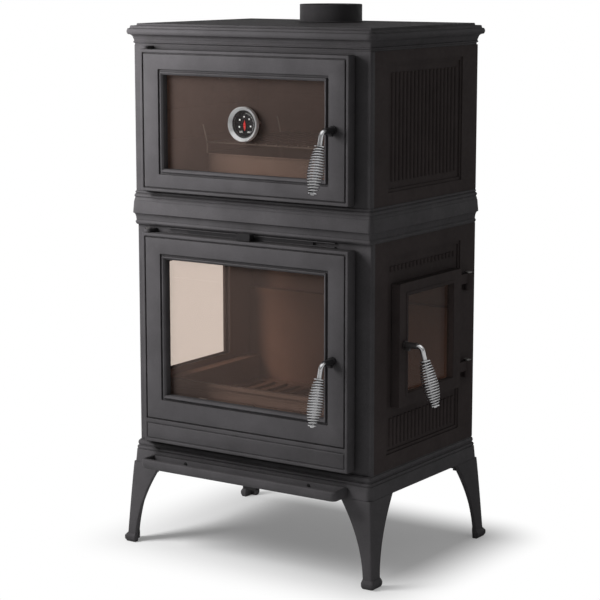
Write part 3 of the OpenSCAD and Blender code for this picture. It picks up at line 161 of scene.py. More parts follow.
class Shape:
    """Points and faces of one piece, in millimetres, gathered from closed forms."""

    def __init__(self):
        self.points = []
        self.faces = []

    def loft(self, rings, loop=False):
        """Skin over rings of equally many points; closed by caps, or onto itself."""
        at = len(self.points)
        n = len(rings[0])
        for ring in rings:
            self.points += [Vector(p) for p in ring]
        count = len(rings)
        for i in range(count if loop else count - 1):
            a, b = at + i * n, at + (i + 1) % count * n
            self.faces += [(a + k, a + (k + 1) % n, b + (k + 1) % n, b + k) for k in range(n)]
        if not loop:
            self.faces.append(tuple(at + k for k in range(n))[::-1])
            self.faces.append(tuple(at + (count - 1) * n + k for k in range(n)))
        return self

    def revolve(self, profile, turns=96):
        """Turns a profile of (radius, height) points about +z. A radius of 0 becomes a small cap."""
        rings = [[(max(r, 0.02) * math.cos(TAU * k / turns), max(r, 0.02) * math.sin(TAU * k / turns), h)
                  for k in range(turns)] for r, h in profile]
        return self.loft(rings)

    def tube(self, line, r, sides=12, closed=False):
        """Round tube along a line of points."""
        line = [Vector(p) for p in line]
        count = len(line)
        rings = []
        side = None
        for i, p in enumerate(line):
            if closed:
                along = line[(i + 1) % count] - line[i - 1]
            else:
                along = line[min(i + 1, count - 1)] - line[max(i - 1, 0)]
            along.normalize()
            if side is None:
                side = along.orthogonal().normalized()
            side = (side - along * side.dot(along)).normalized()
            across = along.cross(side)
            rings.append([p + (side * math.cos(TAU * k / sides) + across * math.sin(TAU * k / sides)) * r
                          for k in range(sides)])
        return self.loft(rings, loop=closed)

    def block(self, lo, hi, r=0.8, n=2):
        """Box between two corners, with all its edges rounded."""
        mesh = bmesh.new()
        bmesh.ops.create_cube(mesh, size=1)
        lo, hi = Vector(lo), Vector(hi)
        for v in mesh.verts:
            v.co = Vector(mix(lo[k], hi[k], v.co[k] + 0.5) for k in range(3))
        r = min(r, 0.3 * min(hi - lo))
        bmesh.ops.bevel(mesh, geom=mesh.edges[:], offset=r, segments=n, profile=0.5, affect="EDGES")
        return self.take(mesh)

    def take(self, mesh):
        """Adds what a bmesh holds, and frees it."""
        at = len(self.points)
        mesh.verts.ensure_lookup_table()
        mesh.verts.index_update()
        self.points += [v.co.copy() for v in mesh.verts]
        self.faces += [tuple(at + v.index for v in f.verts) for f in mesh.faces]
        mesh.free()
        return self

    def moved(self, matrix, since=0):
        """Moves the points from number since on."""
        for i in range(since, len(self.points)):
            self.points[i] = matrix @ self.points[i]
        return self

    def mesh(self, name, sharp=42):
        data = bpy.data.meshes.new(name)
        data.from_pydata([ORIGIN + p * MM for p in self.points], [], self.faces)
        tidy = bmesh.new()
        tidy.from_mesh(data)
        bmesh.ops.recalc_face_normals(tidy, faces=tidy.faces[:])
        tidy.to_mesh(data)
        tidy.free()
        data.shade_smooth()
        data.set_sharp_from_angle(angle=math.radians(sharp))
        return data

    def piece(self, name, body, slot, *nodes, material=None, sharp=42):
        """Makes the object, rides it on its body, gives it the material of its slot or the one given, and
        hides the CAD nodes that it stands for."""
        obj = bpy.data.objects.new(name, self.mesh(name, sharp))
        bpy.context.scene.collection.objects.link(obj)
        obj.data.materials.append(material or MATERIALS[slot])
        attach(obj, body)
        if nodes:
            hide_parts(*nodes)
        return obj


def cut(obj, cutter):
    """Cuts a Shape's closed form out of a piece."""
    tool = bpy.data.objects.new("cutter", cutter.mesh("cutter"))
    bpy.context.scene.collection.objects.link(tool)
    change = obj.modifiers.new("cut", "BOOLEAN")
    change.operation = "DIFFERENCE"
    change.solver = "EXACT"
    change.object = tool
    graph = bpy.context.evaluated_depsgraph_get()
    result = bpy.data.meshes.new_from_object(obj.evaluated_get(graph))
    obj.modifiers.remove(change)
    obj.data = result
    result.shade_smooth()
    result.set_sharp_from_angle(angle=math.radians(42))
    bpy.data.objects.remove(tool)


# ---- Materials ----

class Nodes:
    """Short calls for building one material's node tree."""

    def __init__(self, name):
        self.material = bpy.data.materials.new(name)
        self.material.use_nodes = True
        self.tree = self.material.node_tree
        self.tree.nodes.clear()
        self.out = self.add("ShaderNodeOutputMaterial")
        self.coords = self.add("ShaderNodeTexCoord").outputs["Object"]

    def add(self, kind, inputs=None, **facts):
        node = self.tree.nodes.new(kind)
        for key, value in facts.items():
            setattr(node, key, value)
        for key, value in (inputs or {}).items():
            if isinstance(value, bpy.types.NodeSocket):
                self.tree.links.new(value, node.inputs[key])
            else:
                node.inputs[key].default_value = value
        return node

    def noise(self, scale, detail=3, roughness=0.55, distortion=0):
        inputs = {"Vector": self.coords, "Scale": scale, "Detail": detail, "Roughness": roughness,
                  "Distortion": distortion}
        return self.add("ShaderNodeTexNoise", inputs).outputs["Fac"]

    def between(self, value, low, high, to_low, to_high):
        return self.add("ShaderNodeMapRange", {"Value": value, "From Min": low, "From Max": high,
                                               "To Min": to_low, "To Max": to_high}).outputs["Result"]

    def blend(self, fac, a, b, how="MIX"):
        node = self.add("ShaderNodeMix", data_type="RGBA", blend_type=how)
        for socket, value in ((0, fac), (6, a), (7, b)):
            if isinstance(value, bpy.types.NodeSocket):
                self.tree.links.new(value, node.inputs[socket])
            else:
                node.inputs[socket].default_value = value if socket == 0 else (*value[:3], 1)
        return node.outputs[2]

    def math(self, how, a, b=0.5):
        return self.add("ShaderNodeMath", {0: a, 1: b}, operation=how).outputs[0]

    def vector(self, how, a, b=(0, 0, 0)):
        return self.add("ShaderNodeVectorMath", {0: a, 1: b}, operation=how).outputs["Vector"]

    def bump(self, height, distance, strength=1.0, normal=None):
        inputs = {"Height": height, "Distance": distance, "Strength": strength}
        if normal is not None:
            inputs["Normal"] = normal
        return self.add("ShaderNodeBump", inputs).outputs["Normal"]

    def surface(self, inputs):
        shader = self.add("ShaderNodeBsdfPrincipled", inputs)
        self.tree.links.new(shader.outputs["BSDF"], self.out.inputs["Surface"])
        return self.material


def shade(colour, k):
    return tuple(min(1, c * k) for c in colour[:3])


# Tone of the painted shade in grooves and inner corners
CREVICE_SHADE_TONE = (0.5, 0.45, 0.42)
# Tone of the painted shade on upward faces
TOP_SHADE_TONE = (1, 0.92, 0.84)
# How far the painted shade in grooves reaches, in metres
IRON_SHADE_REACH = 0.022
CHROME_SHADE_REACH = 0.007
# How squarely a face looks up where its painted shade and lower sheen begin and where they are full
UPWARD_FROM, UPWARD_FULL = 0.6, 0.95
# How much of the inside's brown reaches over the casing's inner faces, in millimetres
LINING_OVER = 0.3


def painted_crevice_shade(n, tone, reach, depth, clear=0.95):
    """Paints shade into the tone where other faces stand close, as in grooves and inner corners."""
    near = n.add("ShaderNodeAmbientOcclusion", {"Distance": reach}, samples=6).outputs["AO"]
    return n.blend(n.between(near, 0.35, clear, depth, 0), tone, shade(CREVICE_SHADE_TONE, 0.02))


def iron(name, colour, rough, grain=1.0, shine=0.15, painted_shade=0.45, lined=False):
    """Sand-cast iron with stove paint: soft patches, a fine grain, and paler specks where the grain is
    rubbed. Grooves and inner corners get painted shade; upward faces are painted darker, as painted shade,
    and have less sheen. Lined iron is browned by the heat where it faces the casing's inside."""
    n = Nodes(name)
    patches = n.noise(14, 4, 0.6)
    grain_fac = n.noise(520, 3, 0.65)
    fine = n.noise(1500, 2, 0.6)
    tone = n.blend(n.between(patches, 0.3, 0.7, 0, 1), shade(colour, 0.86), shade(colour, 1.12))
    specks = n.between(grain_fac, 0.60, 0.74, 0, 0.5)
    tone = n.blend(specks, tone, shade(colour, 1.9))
    pits = n.between(grain_fac, 0.42, 0.30, 0, 0.55)
    tone = n.blend(pits, tone, shade(colour, 0.55))
    if painted_shade:
        # Painted shade in grooves and inner corners
        tone = painted_crevice_shade(n, tone, IRON_SHADE_REACH, painted_shade)
        # Upward faces are painted darker, as painted shade, and get less sheen
        faces = n.add("ShaderNodeNewGeometry").outputs["Normal"]
        upward = n.add("ShaderNodeSeparateXYZ", {0: faces}).outputs["Z"]
        tone = n.blend(n.between(upward, UPWARD_FROM, UPWARD_FULL, 0, 0.42), tone, shade(TOP_SHADE_TONE, 0.018))
        shine = n.between(upward, UPWARD_FROM, UPWARD_FULL, shine, shine * 0.1)
    if lined:
        middle = ORIGIN + Vector((0, (BODY_D - BACK_T) / 2, 0)) * MM
        half = Vector((HALF_W - SIDE_T + LINING_OVER, (BODY_D - BACK_T) / 2 + LINING_OVER, 0)) * MM
        off = n.vector("SUBTRACT", n.vector("ABSOLUTE", n.vector("SUBTRACT", n.coords, (*middle.xy, 0))),
                       (*half.xy, 0))
        off = n.add("ShaderNodeSeparateXYZ", {0: off}).outputs
        inside = n.math("LESS_THAN", n.math("MAXIMUM", off["X"], off["Y"]), 0)
        tone = n.blend(inside, tone, BROWNED)
    height = n.math("ADD", grain_fac, n.math("MULTIPLY", fine, 0.5))
    normal = n.bump(height, 0.00032 * grain, 0.55)
    normal = n.bump(n.noise(60, 3, 0.5), 0.0004 * grain, 0.25, normal)
    rough_fac = n.between(n.noise(90, 4, 0.6), 0.3, 0.7, rough - 0.07, rough + 0.08)
    return n.surface({"Base Color": tone, "Roughness": rough_fac, "Normal": normal,
                      "Specular IOR Level": shine})


def chrome(name, colour, rough, metallic=1.0):
    n = Nodes(name)
    smear = n.noise(120, 4, 0.6)
    tone = n.blend(n.between(smear, 0.35, 0.7, 0, 1), shade(colour, 0.9), colour)
    # Painted shade in the gaps between the coil's turns and where other faces stand close
    tone = painted_crevice_shade(n, tone, CHROME_SHADE_REACH, 0.97, 0.8)
    rough_fac = n.between(n.noise(300, 3, 0.6), 0.3, 0.7, rough, rough + 0.08)
    normal = n.bump(n.noise(700, 2), 0.00004, 0.3)
    return n.surface({"Base Color": tone, "Metallic": metallic, "Roughness": rough_fac, "Normal": normal})


# Brush lines of sheet steel for each metre across x, y and z
BRUSHED = (9, 60, 700)


def sheet_steel(name, colour, rough, metallic=0.6, stain=(0.10, 0.06, 0.04), stained=0.5):
    """Plain sheet steel, browned by heat in soft patches, with fine brush lines."""
    n = Nodes(name)
    cloud = n.noise(9, 5, 0.62, 0.4)
    drawn_out = n.add("ShaderNodeMapping", {"Vector": n.coords, "Scale": BRUSHED}).outputs[0]
    lines = n.add("ShaderNodeTexNoise", {"Vector": drawn_out, "Scale": 1.0, "Detail": 3}).outputs["Fac"]
    tone = n.blend(n.between(cloud, 0.35, 0.7, 0, stained), colour, stain)
    tone = n.blend(n.between(lines, 0.3, 0.7, 0, 0.35), tone, shade(colour, 1.25))
    rough_fac = n.between(n.noise(40, 4), 0.3, 0.7, rough - 0.06, rough + 0.1)
    return n.surface({"Base Color": tone, "Metallic": metallic, "Roughness": rough_fac,
                      "Normal": n.bump(lines, 0.0001, 0.4)})


SOOT_FILM = (0.44, 0.335, 0.30)
# How much of the view clear glass mirrors where it is looked at squarely
SQUARE_MIRROR = 0.02


def pane(name, tint, haze, rough=0.02):
    """Clear glass: see-through where it is looked at squarely, a mirror at grazing angles, with a
    little soot."""
    n = Nodes(name)
    soot = n.between(n.noise(7, 5, 0.6), 0.3, 0.75, haze * 0.75, haze)
    clear = n.add("ShaderNodeBsdfTransparent", {"Color": (*tint, 1)})
    film = n.add("ShaderNodeBsdfDiffuse", {"Color": (*SOOT_FILM, 1)})
    gloss = n.add("ShaderNodeBsdfGlossy", {"Color": (1, 1, 1, 1), "Roughness": rough})
    body = n.add("ShaderNodeMixShader", {0: soot, 1: clear.outputs[0], 2: film.outputs[0]})
    facing = n.add("ShaderNodeLayerWeight", {"Blend": 0.5}).outputs["Facing"]
    mirror = n.between(n.math("POWER", facing, 5), 0, 1, SQUARE_MIRROR, 1)
    skin = n.add("ShaderNodeMixShader", {0: mirror, 1: body.outputs[0], 2: gloss.outputs[0]})
    n.tree.links.new(skin.outputs[0], n.out.inputs["Surface"])
    return n.material


def rope_cloth(name, colour):
    """Woven glass rope: strands that wind round it."""
    n = Nodes(name)
    weave = n.add("ShaderNodeTexVoronoi", {"Vector": n.coords, "Scale": 480}).outputs["Distance"]
    tone = n.blend(n.between(weave, 0.1, 0.6, 0, 1), shade(colour, 1.4), shade(colour, 0.5))
    tone = n.blend(n.between(n.noise(50, 4), 0.4, 0.7, 0, 0.5), tone, (0.03, 0.028, 0.026))
    return n.surface({"Base Color": tone, "Roughness": 0.95, "Normal": n.bump(weave, 0.0008, 0.8)})


def paint(name, colour, rough, bump=0.0002, shine=0.4):
    n = Nodes(name)
    spots = n.noise(400, 3, 0.6)
    tone = n.blend(n.between(spots, 0.35, 0.7, 0, 1), shade(colour, 0.85), shade(colour, 1.15))
    rough_fac = n.between(n.noise(120, 3), 0.3, 0.7, rough - 0.05, rough + 0.07)
    return n.surface({"Base Color": tone, "Roughness": rough_fac, "Normal": n.bump(spots, bump, 0.4),
                      "Specular IOR Level": shine})


BROWNED = (0.20, 0.115, 0.085)
MATERIALS = {
    "cast_iron": iron("cast_iron", (0.080, 0.076, 0.080), 0.55),
    # The side's iron is a darker copy of the front's: painted shade for the side that the light doesn't reach
    "cast_iron_side": iron("cast_iron_side", (0.058, 0.047, 0.046), 0.6, 0.7, 0.08, 0.15, lined=True),
    "cast_iron_inner": iron("cast_iron_inner", BROWNED, 0.75, 0.25, 0.06, 0.0),
    "chrome": chrome("chrome", (0.80, 0.80, 0.81), 0.20),
    "rack_chrome": chrome("rack_chrome", (0.42, 0.39, 0.36), 0.32),
    "steel": sheet_steel("steel", (0.36, 0.35, 0.34), 0.38, 0.9, stained=0.25),
    "oven_steel": sheet_steel("oven_steel", (0.40, 0.29, 0.25), 0.65, 0.1),
    "tray_steel": sheet_steel("tray_steel", (0.15, 0.115, 0.10), 0.5, 0.2, stained=0.4),
    "glass": pane("glass", (0.94, 0.90, 0.87), 0.07),
    "lens": pane("lens", (0.98, 0.98, 0.98), 0.01),
    "rope": rope_cloth("rope", (0.20, 0.19, 0.17)),
    "black_steel": paint("black_steel", (0.022, 0.021, 0.022), 0.42, shine=0.3),
    "dial": paint("dial", (0.008, 0.008, 0.009), 0.6, 0.00004, 0.2),
    "needle_red": paint("needle_red", (0.62, 0.025, 0.02), 0.35, 0.00003),
}
WHITE_PRINT = paint("white_print", (0.82, 0.82, 0.80), 0.5, 0.00003)
# CAD nodes that look unlike the rest of their slot
BY_NODE = {
    "thermometer_case": chrome("satin_chrome", (0.93, 0.93, 0.93), 0.34, 0.75),
    "log_retainer": iron("retainer_iron", (0.17, 0.125, 0.11), 0.7, 0.3, 0.1, 0.5),
    # The side door and the left window frame take the side's darker iron, as painted shade
    "side_door": MATERIALS["cast_iron_side"],
    "window_frame_left": MATERIALS["cast_iron_side"],
    "side_latch_shaft": chrome("dull_chrome", (0.16, 0.15, 0.15), 0.35),
    "casing_bolts": MATERIALS["black_steel"],
    "casing_screws": MATERIALS["black_steel"],
}


def dress_frame():
    """Every CAD node takes the material of its slot; round faces stay smooth."""
    for name, node in frame["nodes"].items():
        for place in node.material_slots:
            place.material = BY_NODE.get(name) or MATERIALS[place.material.name.split(".")[0]]


dress_frame()


# ---- Mouldings round the casing ----

def plan(o, z, depth=BODY_D):
    """Ring round the casing's plan, standing out by o."""
    return flat(rounded(-HALF_W - o, HALF_W + o, -o, depth + o, max(EDGE_R + o, 0.3), 6), z)


def moulding(shape, profile, r=0.9):
    shape.loft([plan(o, z) for o, z in soft(profile, r, closed=True)], loop=True)


def base_plate():
    z, top = Z_BASE, Z_FIRE
    shape = Shape()
    moulding(shape, [(LEG_TOP_OUT - 0.3, z), (LEG_TOP_OUT, z + 1), (5.9, z + 26), (4.6, z + 26.8)]
             + bead(4.2, 1.2, z + 27.4, z + 33) + [(2.2, z + 34)] + bead(1.8, 1.6, z + 35, top - 2)
             + [(0, top - 1), (0, top), (-SIDE_T, top), (-SIDE_T, z)], 0.6)
    inner = HALF_W - SIDE_T
    floor = top - PLATE_T
    y0, y1 = SIDE_T, BODY_D - SIDE_T
    hole_x, hole_y0, hole_y1 = 60, 22, 62
    boss_r, boss_h, boss_in = 12, 36, 24
    shape.block((-inner, y0, floor), (inner, hole_y0, top))
    shape.block((-inner, hole_y1, floor), (inner, y1, top))
    for s in (-1, 1):
        x0, x1 = sorted((s * inner, s * hole_x))
        shape.block((x0, hole_y0 - 1, floor), (x1, hole_y1 + 1, top))
        shape.block((s * 156 - 4, 60, top - 1), (s * 156 + 4, BODY_D - 48, top + 22))
        for y in (boss_in, BODY_D - boss_in):
            at = len(shape.points)
            place = Matrix.Translation((s * (HALF_W - boss_in), y, floor))
            shape.revolve([(boss_r, -boss_h), (boss_r, 0)], 32).moved(place, at)
    for y in (12, 66):
        shape.block((-120, y, floor - 8), (120, y + 6, floor + 1))
    return shape.piece("base_casting", "root", "cast_iron", "base_plate")


def waist_plate():
    z, top = Z_WAIST, Z_OVEN
    shape = Shape()
    moulding(shape, bead(0.3, 2.4, z + 0.5, z + 9.3) + hollow(1, z + 9.5, 7.6, z + 23.4)
             + [(5.3, z + 47.7), (4.2, z + 48.3), (4.6, z + 50), (3, z + 54)] + bead(2.4, 2, z + 55, z + 62)
             + [(1.2, z + 62.8)] + bead(1, 1.4, z + 63.4, top - 1)
             + [(0, top), (-SIDE_T, top), (-SIDE_T, z), (0, z)], 0.8)
    inner = HALF_W - SIDE_T + 1
    shape.block((-inner, SIDE_T - 1, top - 22), (inner, BODY_D - SIDE_T + 1, top - 22 + PLATE_T))
    return shape.piece("waist_casting", "root", "cast_iron", "waist_plate")


def top_plate():
    z, cap = Z_TOP, Z_CAP
    shape = Shape()
    moulding(shape, [(0, z), (-1, z + 0.6), (-1, z + 4)] + bead(0.6, 1.8, z + 4, z + 8.4) + [(1.6, z + 12.7)]
             + hollow(2.4, z + 12.7, 12.6, z + 21.4) + bead(13.4, 2.3, z + 21.6, z + 32.9, 14)
             + [(9.4, z + 33.4), (8.7, z + 37.6), (7.6, z + 38.5), (-4.2, z + 38.5), (-4.7, cap - 0.8),
                (-5.6, cap), (-30, cap), (-30, cap - PLATE_T), (-SIDE_T, cap - PLATE_T), (-SIDE_T, z)], 0.9)
    collar = box_mm("flue_collar")
    cx, cy = 0, (collar[0].y + collar[1].y) / 2
    outer = flat(rounded(-HALF_W + 29, HALF_W - 29, 29, BODY_D - 29, 0.1, 23), cap - 0.02)
    ring = outer[:]
    start = [math.atan2(p[1] - cy, p[0] - cx) for p in ring]
    hole = [(cx + 59 * math.cos(a), cy + 59 * math.sin(a), cap - 0.02) for a in start]
    low = [(x, y, cap - PLATE_T) for x, y, _ in ring]
    low_hole = [(x, y, cap - PLATE_T) for x, y, _ in hole]
    shape.loft([ring, hole, low_hole, low], loop=True)
    return shape.piece("top_casting", "root", "cast_iron", "top_plate")


def flue_collar():
    lo, hi = box_mm("flue_collar")
    r, bore, h = 63.7, 58, hi.z - lo.z
    profile = [(bore, 0), (r + 2.3, 0), (r + 2.3, 1.6)] + [(r + 1.8 * (1 - math.sin(math.radians(a))),
              1.6 + 1.8 * (1 - math.cos(math.radians(a)))) for a in (0, 22, 45, 68, 90)]
    profile += [(r, h), (bore, h)]
    shape = Shape()
    rings = [[(p[0] * math.cos(TAU * k / 128), p[0] * math.sin(TAU * k / 128), p[1]) for k in range(128)]
             for p in soft(profile, 1.4, closed=True, least=30)]
    shape.loft(rings, loop=True).moved(Matrix.Translation((0, (lo.y + hi.y) / 2, lo.z)))
    return shape.piece("flue_collar_casting", "root", "cast_iron", "flue_collar",
                       material=iron("collar_iron", (0.040, 0.038, 0.040), 0.55))


base_plate()
waist_plate()
top_plate()
flue_collar()


# ---- Legs ----

LEG_H = Z_BASE
LEG_T = 9
FOOT_H = 18
ANKLE_OUT = 19.3
# How much of the foot's swell each height of the foot has
FOOT_LINE = [(0, 0.30), (0.03, 0.45), (0.28, 1), (0.66, 1), (0.95, 0.25), (1.02, 0)]


def leg_section(h, swell):
    """Section of a leg at a height: an L round the casing's corner, which narrows and leans out."""
    o = mix(LEG_TOP_OUT, ANKLE_OUT, (1 - max(0, h - FOOT_H) / (LEG_H - FOOT_H)) ** 0.9) + swell
    rise = (h / LEG_H) ** 2
    front = mix(1.5, 61, rise) + swell / 4
    side = mix(11, 75, rise) + swell / 4
    t = LEG_T + swell
    line = [(-o + 2.4, -o), (front, -o), (front, -o + t), (-o + t, -o + t), (-o + t, side), (-o, side),
            (-o, -o + 2.4)]
    return [(p[0], p[1], h) for p in soft(line, 2.0, 3, 0, closed=True)]


def leg(name, sx, sy):
    steps = 44
    foot = soft(FOOT_LINE, 0.12, 4, 3)
    rings = [leg_section(p[0] * FOOT_H, p[1] * (FOOT_OUT - ANKLE_OUT)) for p in foot]
    rings += [leg_section(mix(FOOT_H * 1.1, LEG_H, i / steps), 0) for i in range(steps + 1)]
    shape = Shape().loft(rings)
    shape.block((-2, -2, LEG_H - 20), (36, 36, LEG_H))
    corner = Matrix.Translation((sx * HALF_W, 0 if sy < 0 else BODY_D, 0)) @ Matrix.Diagonal((-sx, -sy, 1, 1))
    return shape.moved(corner).piece(name + "_casting", "root", "cast_iron", name)


for sx, sy, name in ((-1, -1, "leg_front_left"), (1, -1, "leg_front_right"), (-1, 1, "leg_rear_left"),
                     (1, 1, "leg_rear_right")):
    leg(name, sx, sy)


# ---- Ash shelf ----

def ash_shelf():
    half, out, h, rim = 237, 54, 20, 8
    z0 = Z_BASE + 2
    back = -LEG_TOP_OUT

    def ring(inset, z, back_in=0.0):
        pts = [(-half + inset, back - back_in), (-half + inset, -out + inset), (half - inset, -out + inset),
               (half - inset, back - back_in)]
        outline = soft([(p[0], p[1]) for p in pts], max(14 - inset, 3), 8, 30, closed=False)
        return [(p[0], p[1], z) for p in outline]

    profile = [(3, 0, 0), (0.6, 3.4, 0), (0, 8, 0), (0, h - 4.4, 0), (1.6, h - 1.6, 0), (3.4, h - 0.4, 0),
               (rim - 1.6, h, 0), (rim - 0.4, h - 0.9, 5), (rim, h - 2.6, 5.5), (rim + 0.8, 6.4, 6),
               (rim + 2.4, 5, 6.6)]
    shape = Shape().loft([ring(i, z0 + z, b) for i, z, b in profile])
    return shape.piece("ash_shelf_casting", "root", "cast_iron", "ash_shelf")


ash_shelf()


# ---- Front doors ----

# Width of a door's edge outside its groove
LIP = 6
GLASS_HALF = 190
FRAME_W = 11
GLASS_IN = 16
FIRE_GLASS = (323.7, 602)
OVEN_GLASS = (783.8, 970)
# Profiles as points (inset, depth): groove round the field, channel and frame round the glass, and the
# thin line of the lower panel
LIP_GROOVE = [(-0.9, 0), (-0.3, 0.15), (0.1, 0.7), (0.45, 3.0), (2.55, 3.0), (2.9, 0.7), (3.3, 0.15),
              (3.9, 0)]
GLASS_FRAME = [(-0.8, 0), (-0.2, 0.15), (0.1, 0.7), (0.5, 3.4), (4.4, 3.6), (4.8, 0.7), (5.2, -0.3),
               (5.9, -0.8), (6.9, -0.6), (8.2, 0.6), (10.2, 2.8)]
PANEL_LINE = [(-1.6, -1.5), (-0.9, -0.05), (-0.3, 0.2), (0.3, 0.7), (1.3, 1.7), (1.8, 1.7), (2.8, 0.7),
              (3.3, 0.2), (3.9, -0.05), (4.6, -1.5)]


def door_rings(x, z0, z1, y_back, field, glass):
    """Rings of a glazed door's casting, from its back round its edge, groove, field and frame to the
    glass."""
    y = DOOR_FRONT
    fx, fz0, fz1 = field
    gx = GLASS_HALF
    g0, g1 = glass
    rings = []

    def ring(x0, x1, za, zb, r, depth):
        rings.append(facing(rounded(x0, x1, za, zb, r), depth))

    ring(-x + 2.6, x - 0.6, z0 + 0.6, z1 - 0.6, 1.6, y_back)
    ring(-x + 1.0, x, z0, z1, 2, y_back - 1.4)
    ring(-x, x, z0, z1, 2, y_back - 3)
    for k in range(5):
        a = math.radians(22.5 * k)
        i = 1.8 * (1 - math.cos(a))
        ring(-x + i, x - i, z0 + i, z1 - i, 2, y + 1.8 * (1 - math.sin(a)))
    for i, d in LIP_GROOVE:
        ring(-fx + i, fx - i, fz0 + i, fz1 - i, max(2 - i, 0.8), y + d)
    for i, d in GLASS_FRAME:
        out = FRAME_W - i
        ring(-gx - out, gx + out, g0 - out, g1 + out, max(2 - i, 1), y + d)
    ring(-gx, gx, g0, g1, 1.2, y + 3.8)
    ring(-gx, gx, g0, g1, 1.0, y + GLASS_IN)
    rebate = 7
    ring(-gx - rebate, gx + rebate, g0 - rebate, g1 + rebate, 1.0, y + GLASS_IN)
    ring(-gx - rebate, gx + rebate, g0 - rebate, g1 + rebate, 1.0, y_back)
    seal, w = 237, 6
    for i, d in ((w, 0), (w, -3), (0, -3), (0, 0)):
        ring(-seal + i, seal - i, z0 + 9 + i, z1 - 9 - i, 2, y_back + d)
    return rings


def fire_door():
    lo, hi = FIRE_DOOR
    x, z0, z1 = hi.x, lo.z, hi.z
    panel_top = z0 + LIP + 34
    shape = Shape().loft(door_rings(x, z0, z1, 2, (x - LIP, panel_top + 8, z1 - LIP), FIRE_GLASS), loop=True)
    door = shape.piece("fire_door_casting", "fire_door", "cast_iron", "fire_door")
    groove = Shape()
    y = DOOR_FRONT
    px, pz0, pz1 = x - LIP, z0 + LIP, panel_top
    rings = []
    for i, d in PANEL_LINE:
        rings.append(facing(rounded(-px + i, px - i, pz0 + i, pz1 - i, max(2 - i, 0.8)), y + d))
    groove.loft(rings, loop=True)
    cut(door, groove)
    return door


def oven_door():
    lo, hi = OVEN_DOOR
    x, z0, z1 = hi.x, lo.z, hi.z
    field = (x - LIP, z0 + LIP, z1 - LIP)
    shape = Shape().loft(door_rings(x, z0, z1, -3, field, OVEN_GLASS), loop=True)
    return shape.piece("oven_door_casting", "oven_door", "cast_iron", "oven_door")


fire_door()
oven_door()


# ---- Handles ----

CURLS, WIRE_R, GRIP_L = 16, 1.6, 86
GRIP_TOP, GRIP_MID, GRIP_LOW = 10.5, 16.5, 8.6
WIDEST = 0.52
LEAN = 15.5
ROD_R = 4.8
ROD_BARE = 20.5
SHAFT_OUT, BEND_R = 30, 12


def grip_radius(t):
    """Radius of the wire's centre line, down the grip from 0 to 1."""
    top, mid, low = GRIP_TOP - WIRE_R, GRIP_MID - WIRE_R, GRIP_LOW - WIRE_R
    if t < WIDEST:
        return top + (mid - top) * math.sin(math.pi / 2 * t / WIDEST)
    return low + (mid - low) * (1 - ((t - WIDEST) / (1 - WIDEST)) ** 2.2)


def coil_line():
    """Centre line of the wound wire, from washer to washer."""
    z0 = 0.25 + WIRE_R
    z1 = GRIP_L - z0
    steps = 24
    out = []
    for i in range(CURLS * steps + 1):
        t = i / (CURLS * steps)
        a = TAU * CURLS * t
        out.append((grip_radius(t) * math.cos(a), grip_radius(t) * math.sin(a), mix(z0, z1, t)))
    return out


def handle_matrix(at, turned):
    """From the grip's frame, +z down the grip, to the casing's frame."""
    lean = math.radians(LEAN)
    turn = math.radians(90 - LEAN)
    start = Vector((SHAFT_OUT + BEND_R * math.sin(turn), 0, -BEND_R * (1 - math.cos(turn)))) \
        + ROD_BARE * Vector((math.sin(lean), 0, -math.cos(lean)))
    return (Matrix.Translation(at) @ Matrix.Rotation(math.radians(turned), 4, "Z") @ Matrix.Translation(start)
            @ Matrix.Rotation(math.radians(180 - LEAN), 4, "Y"))


def handle(kind, turned):
    lo, hi = box_mm(kind + "_handle_rod")
    up = hi.z - ROD_R + 0.15
    at = ((lo.x + hi.x) / 2, DOOR_FRONT, up) if turned else (SIDE_FACE, (lo.y + hi.y) / 2, up)
    shape = Shape().tube(coil_line(), WIRE_R, 10).moved(handle_matrix(at, turned))
    shape.piece(kind + "_handle_coil", kind + "_handle", "chrome", kind + "_handle_spring", sharp=60)


handle("oven", -90)
handle("fire", -90)
handle("side", 0)


# ---- Thermometer ----

DIAL_LO, DIAL_HI = box_mm("thermometer_dial")
THERMO = Vector(((DIAL_LO.x + DIAL_HI.x) / 2, DIAL_LO.y, (DIAL_LO.z + DIAL_HI.z) / 2))


def text(name, words, size, x, z, y):
    """Generic numerals, as a mesh."""
    curve = bpy.data.curves.new(name, "FONT")
    curve.body = words
    curve.size = size * MM
    curve.align_x = "CENTER"
    curve.align_y = "CENTER"
    curve.extrude = 0.05 * MM
    curve.resolution_u = 3
    made = bpy.data.objects.new(name, curve)
    bpy.context.scene.collection.objects.link(made)
    graph = bpy.context.evaluated_depsgraph_get()
    mesh = bpy.data.meshes.new_from_object(made.evaluated_get(graph))
    bpy.data.objects.remove(made)
    mesh.transform(Matrix.Translation(ORIGIN + Vector((x, y, z)) * MM) @ Matrix.Rotation(math.pi / 2, 4, "X"))
    return mesh


DIAL_DOTS = (204, 147, 97, 44.5, -16)


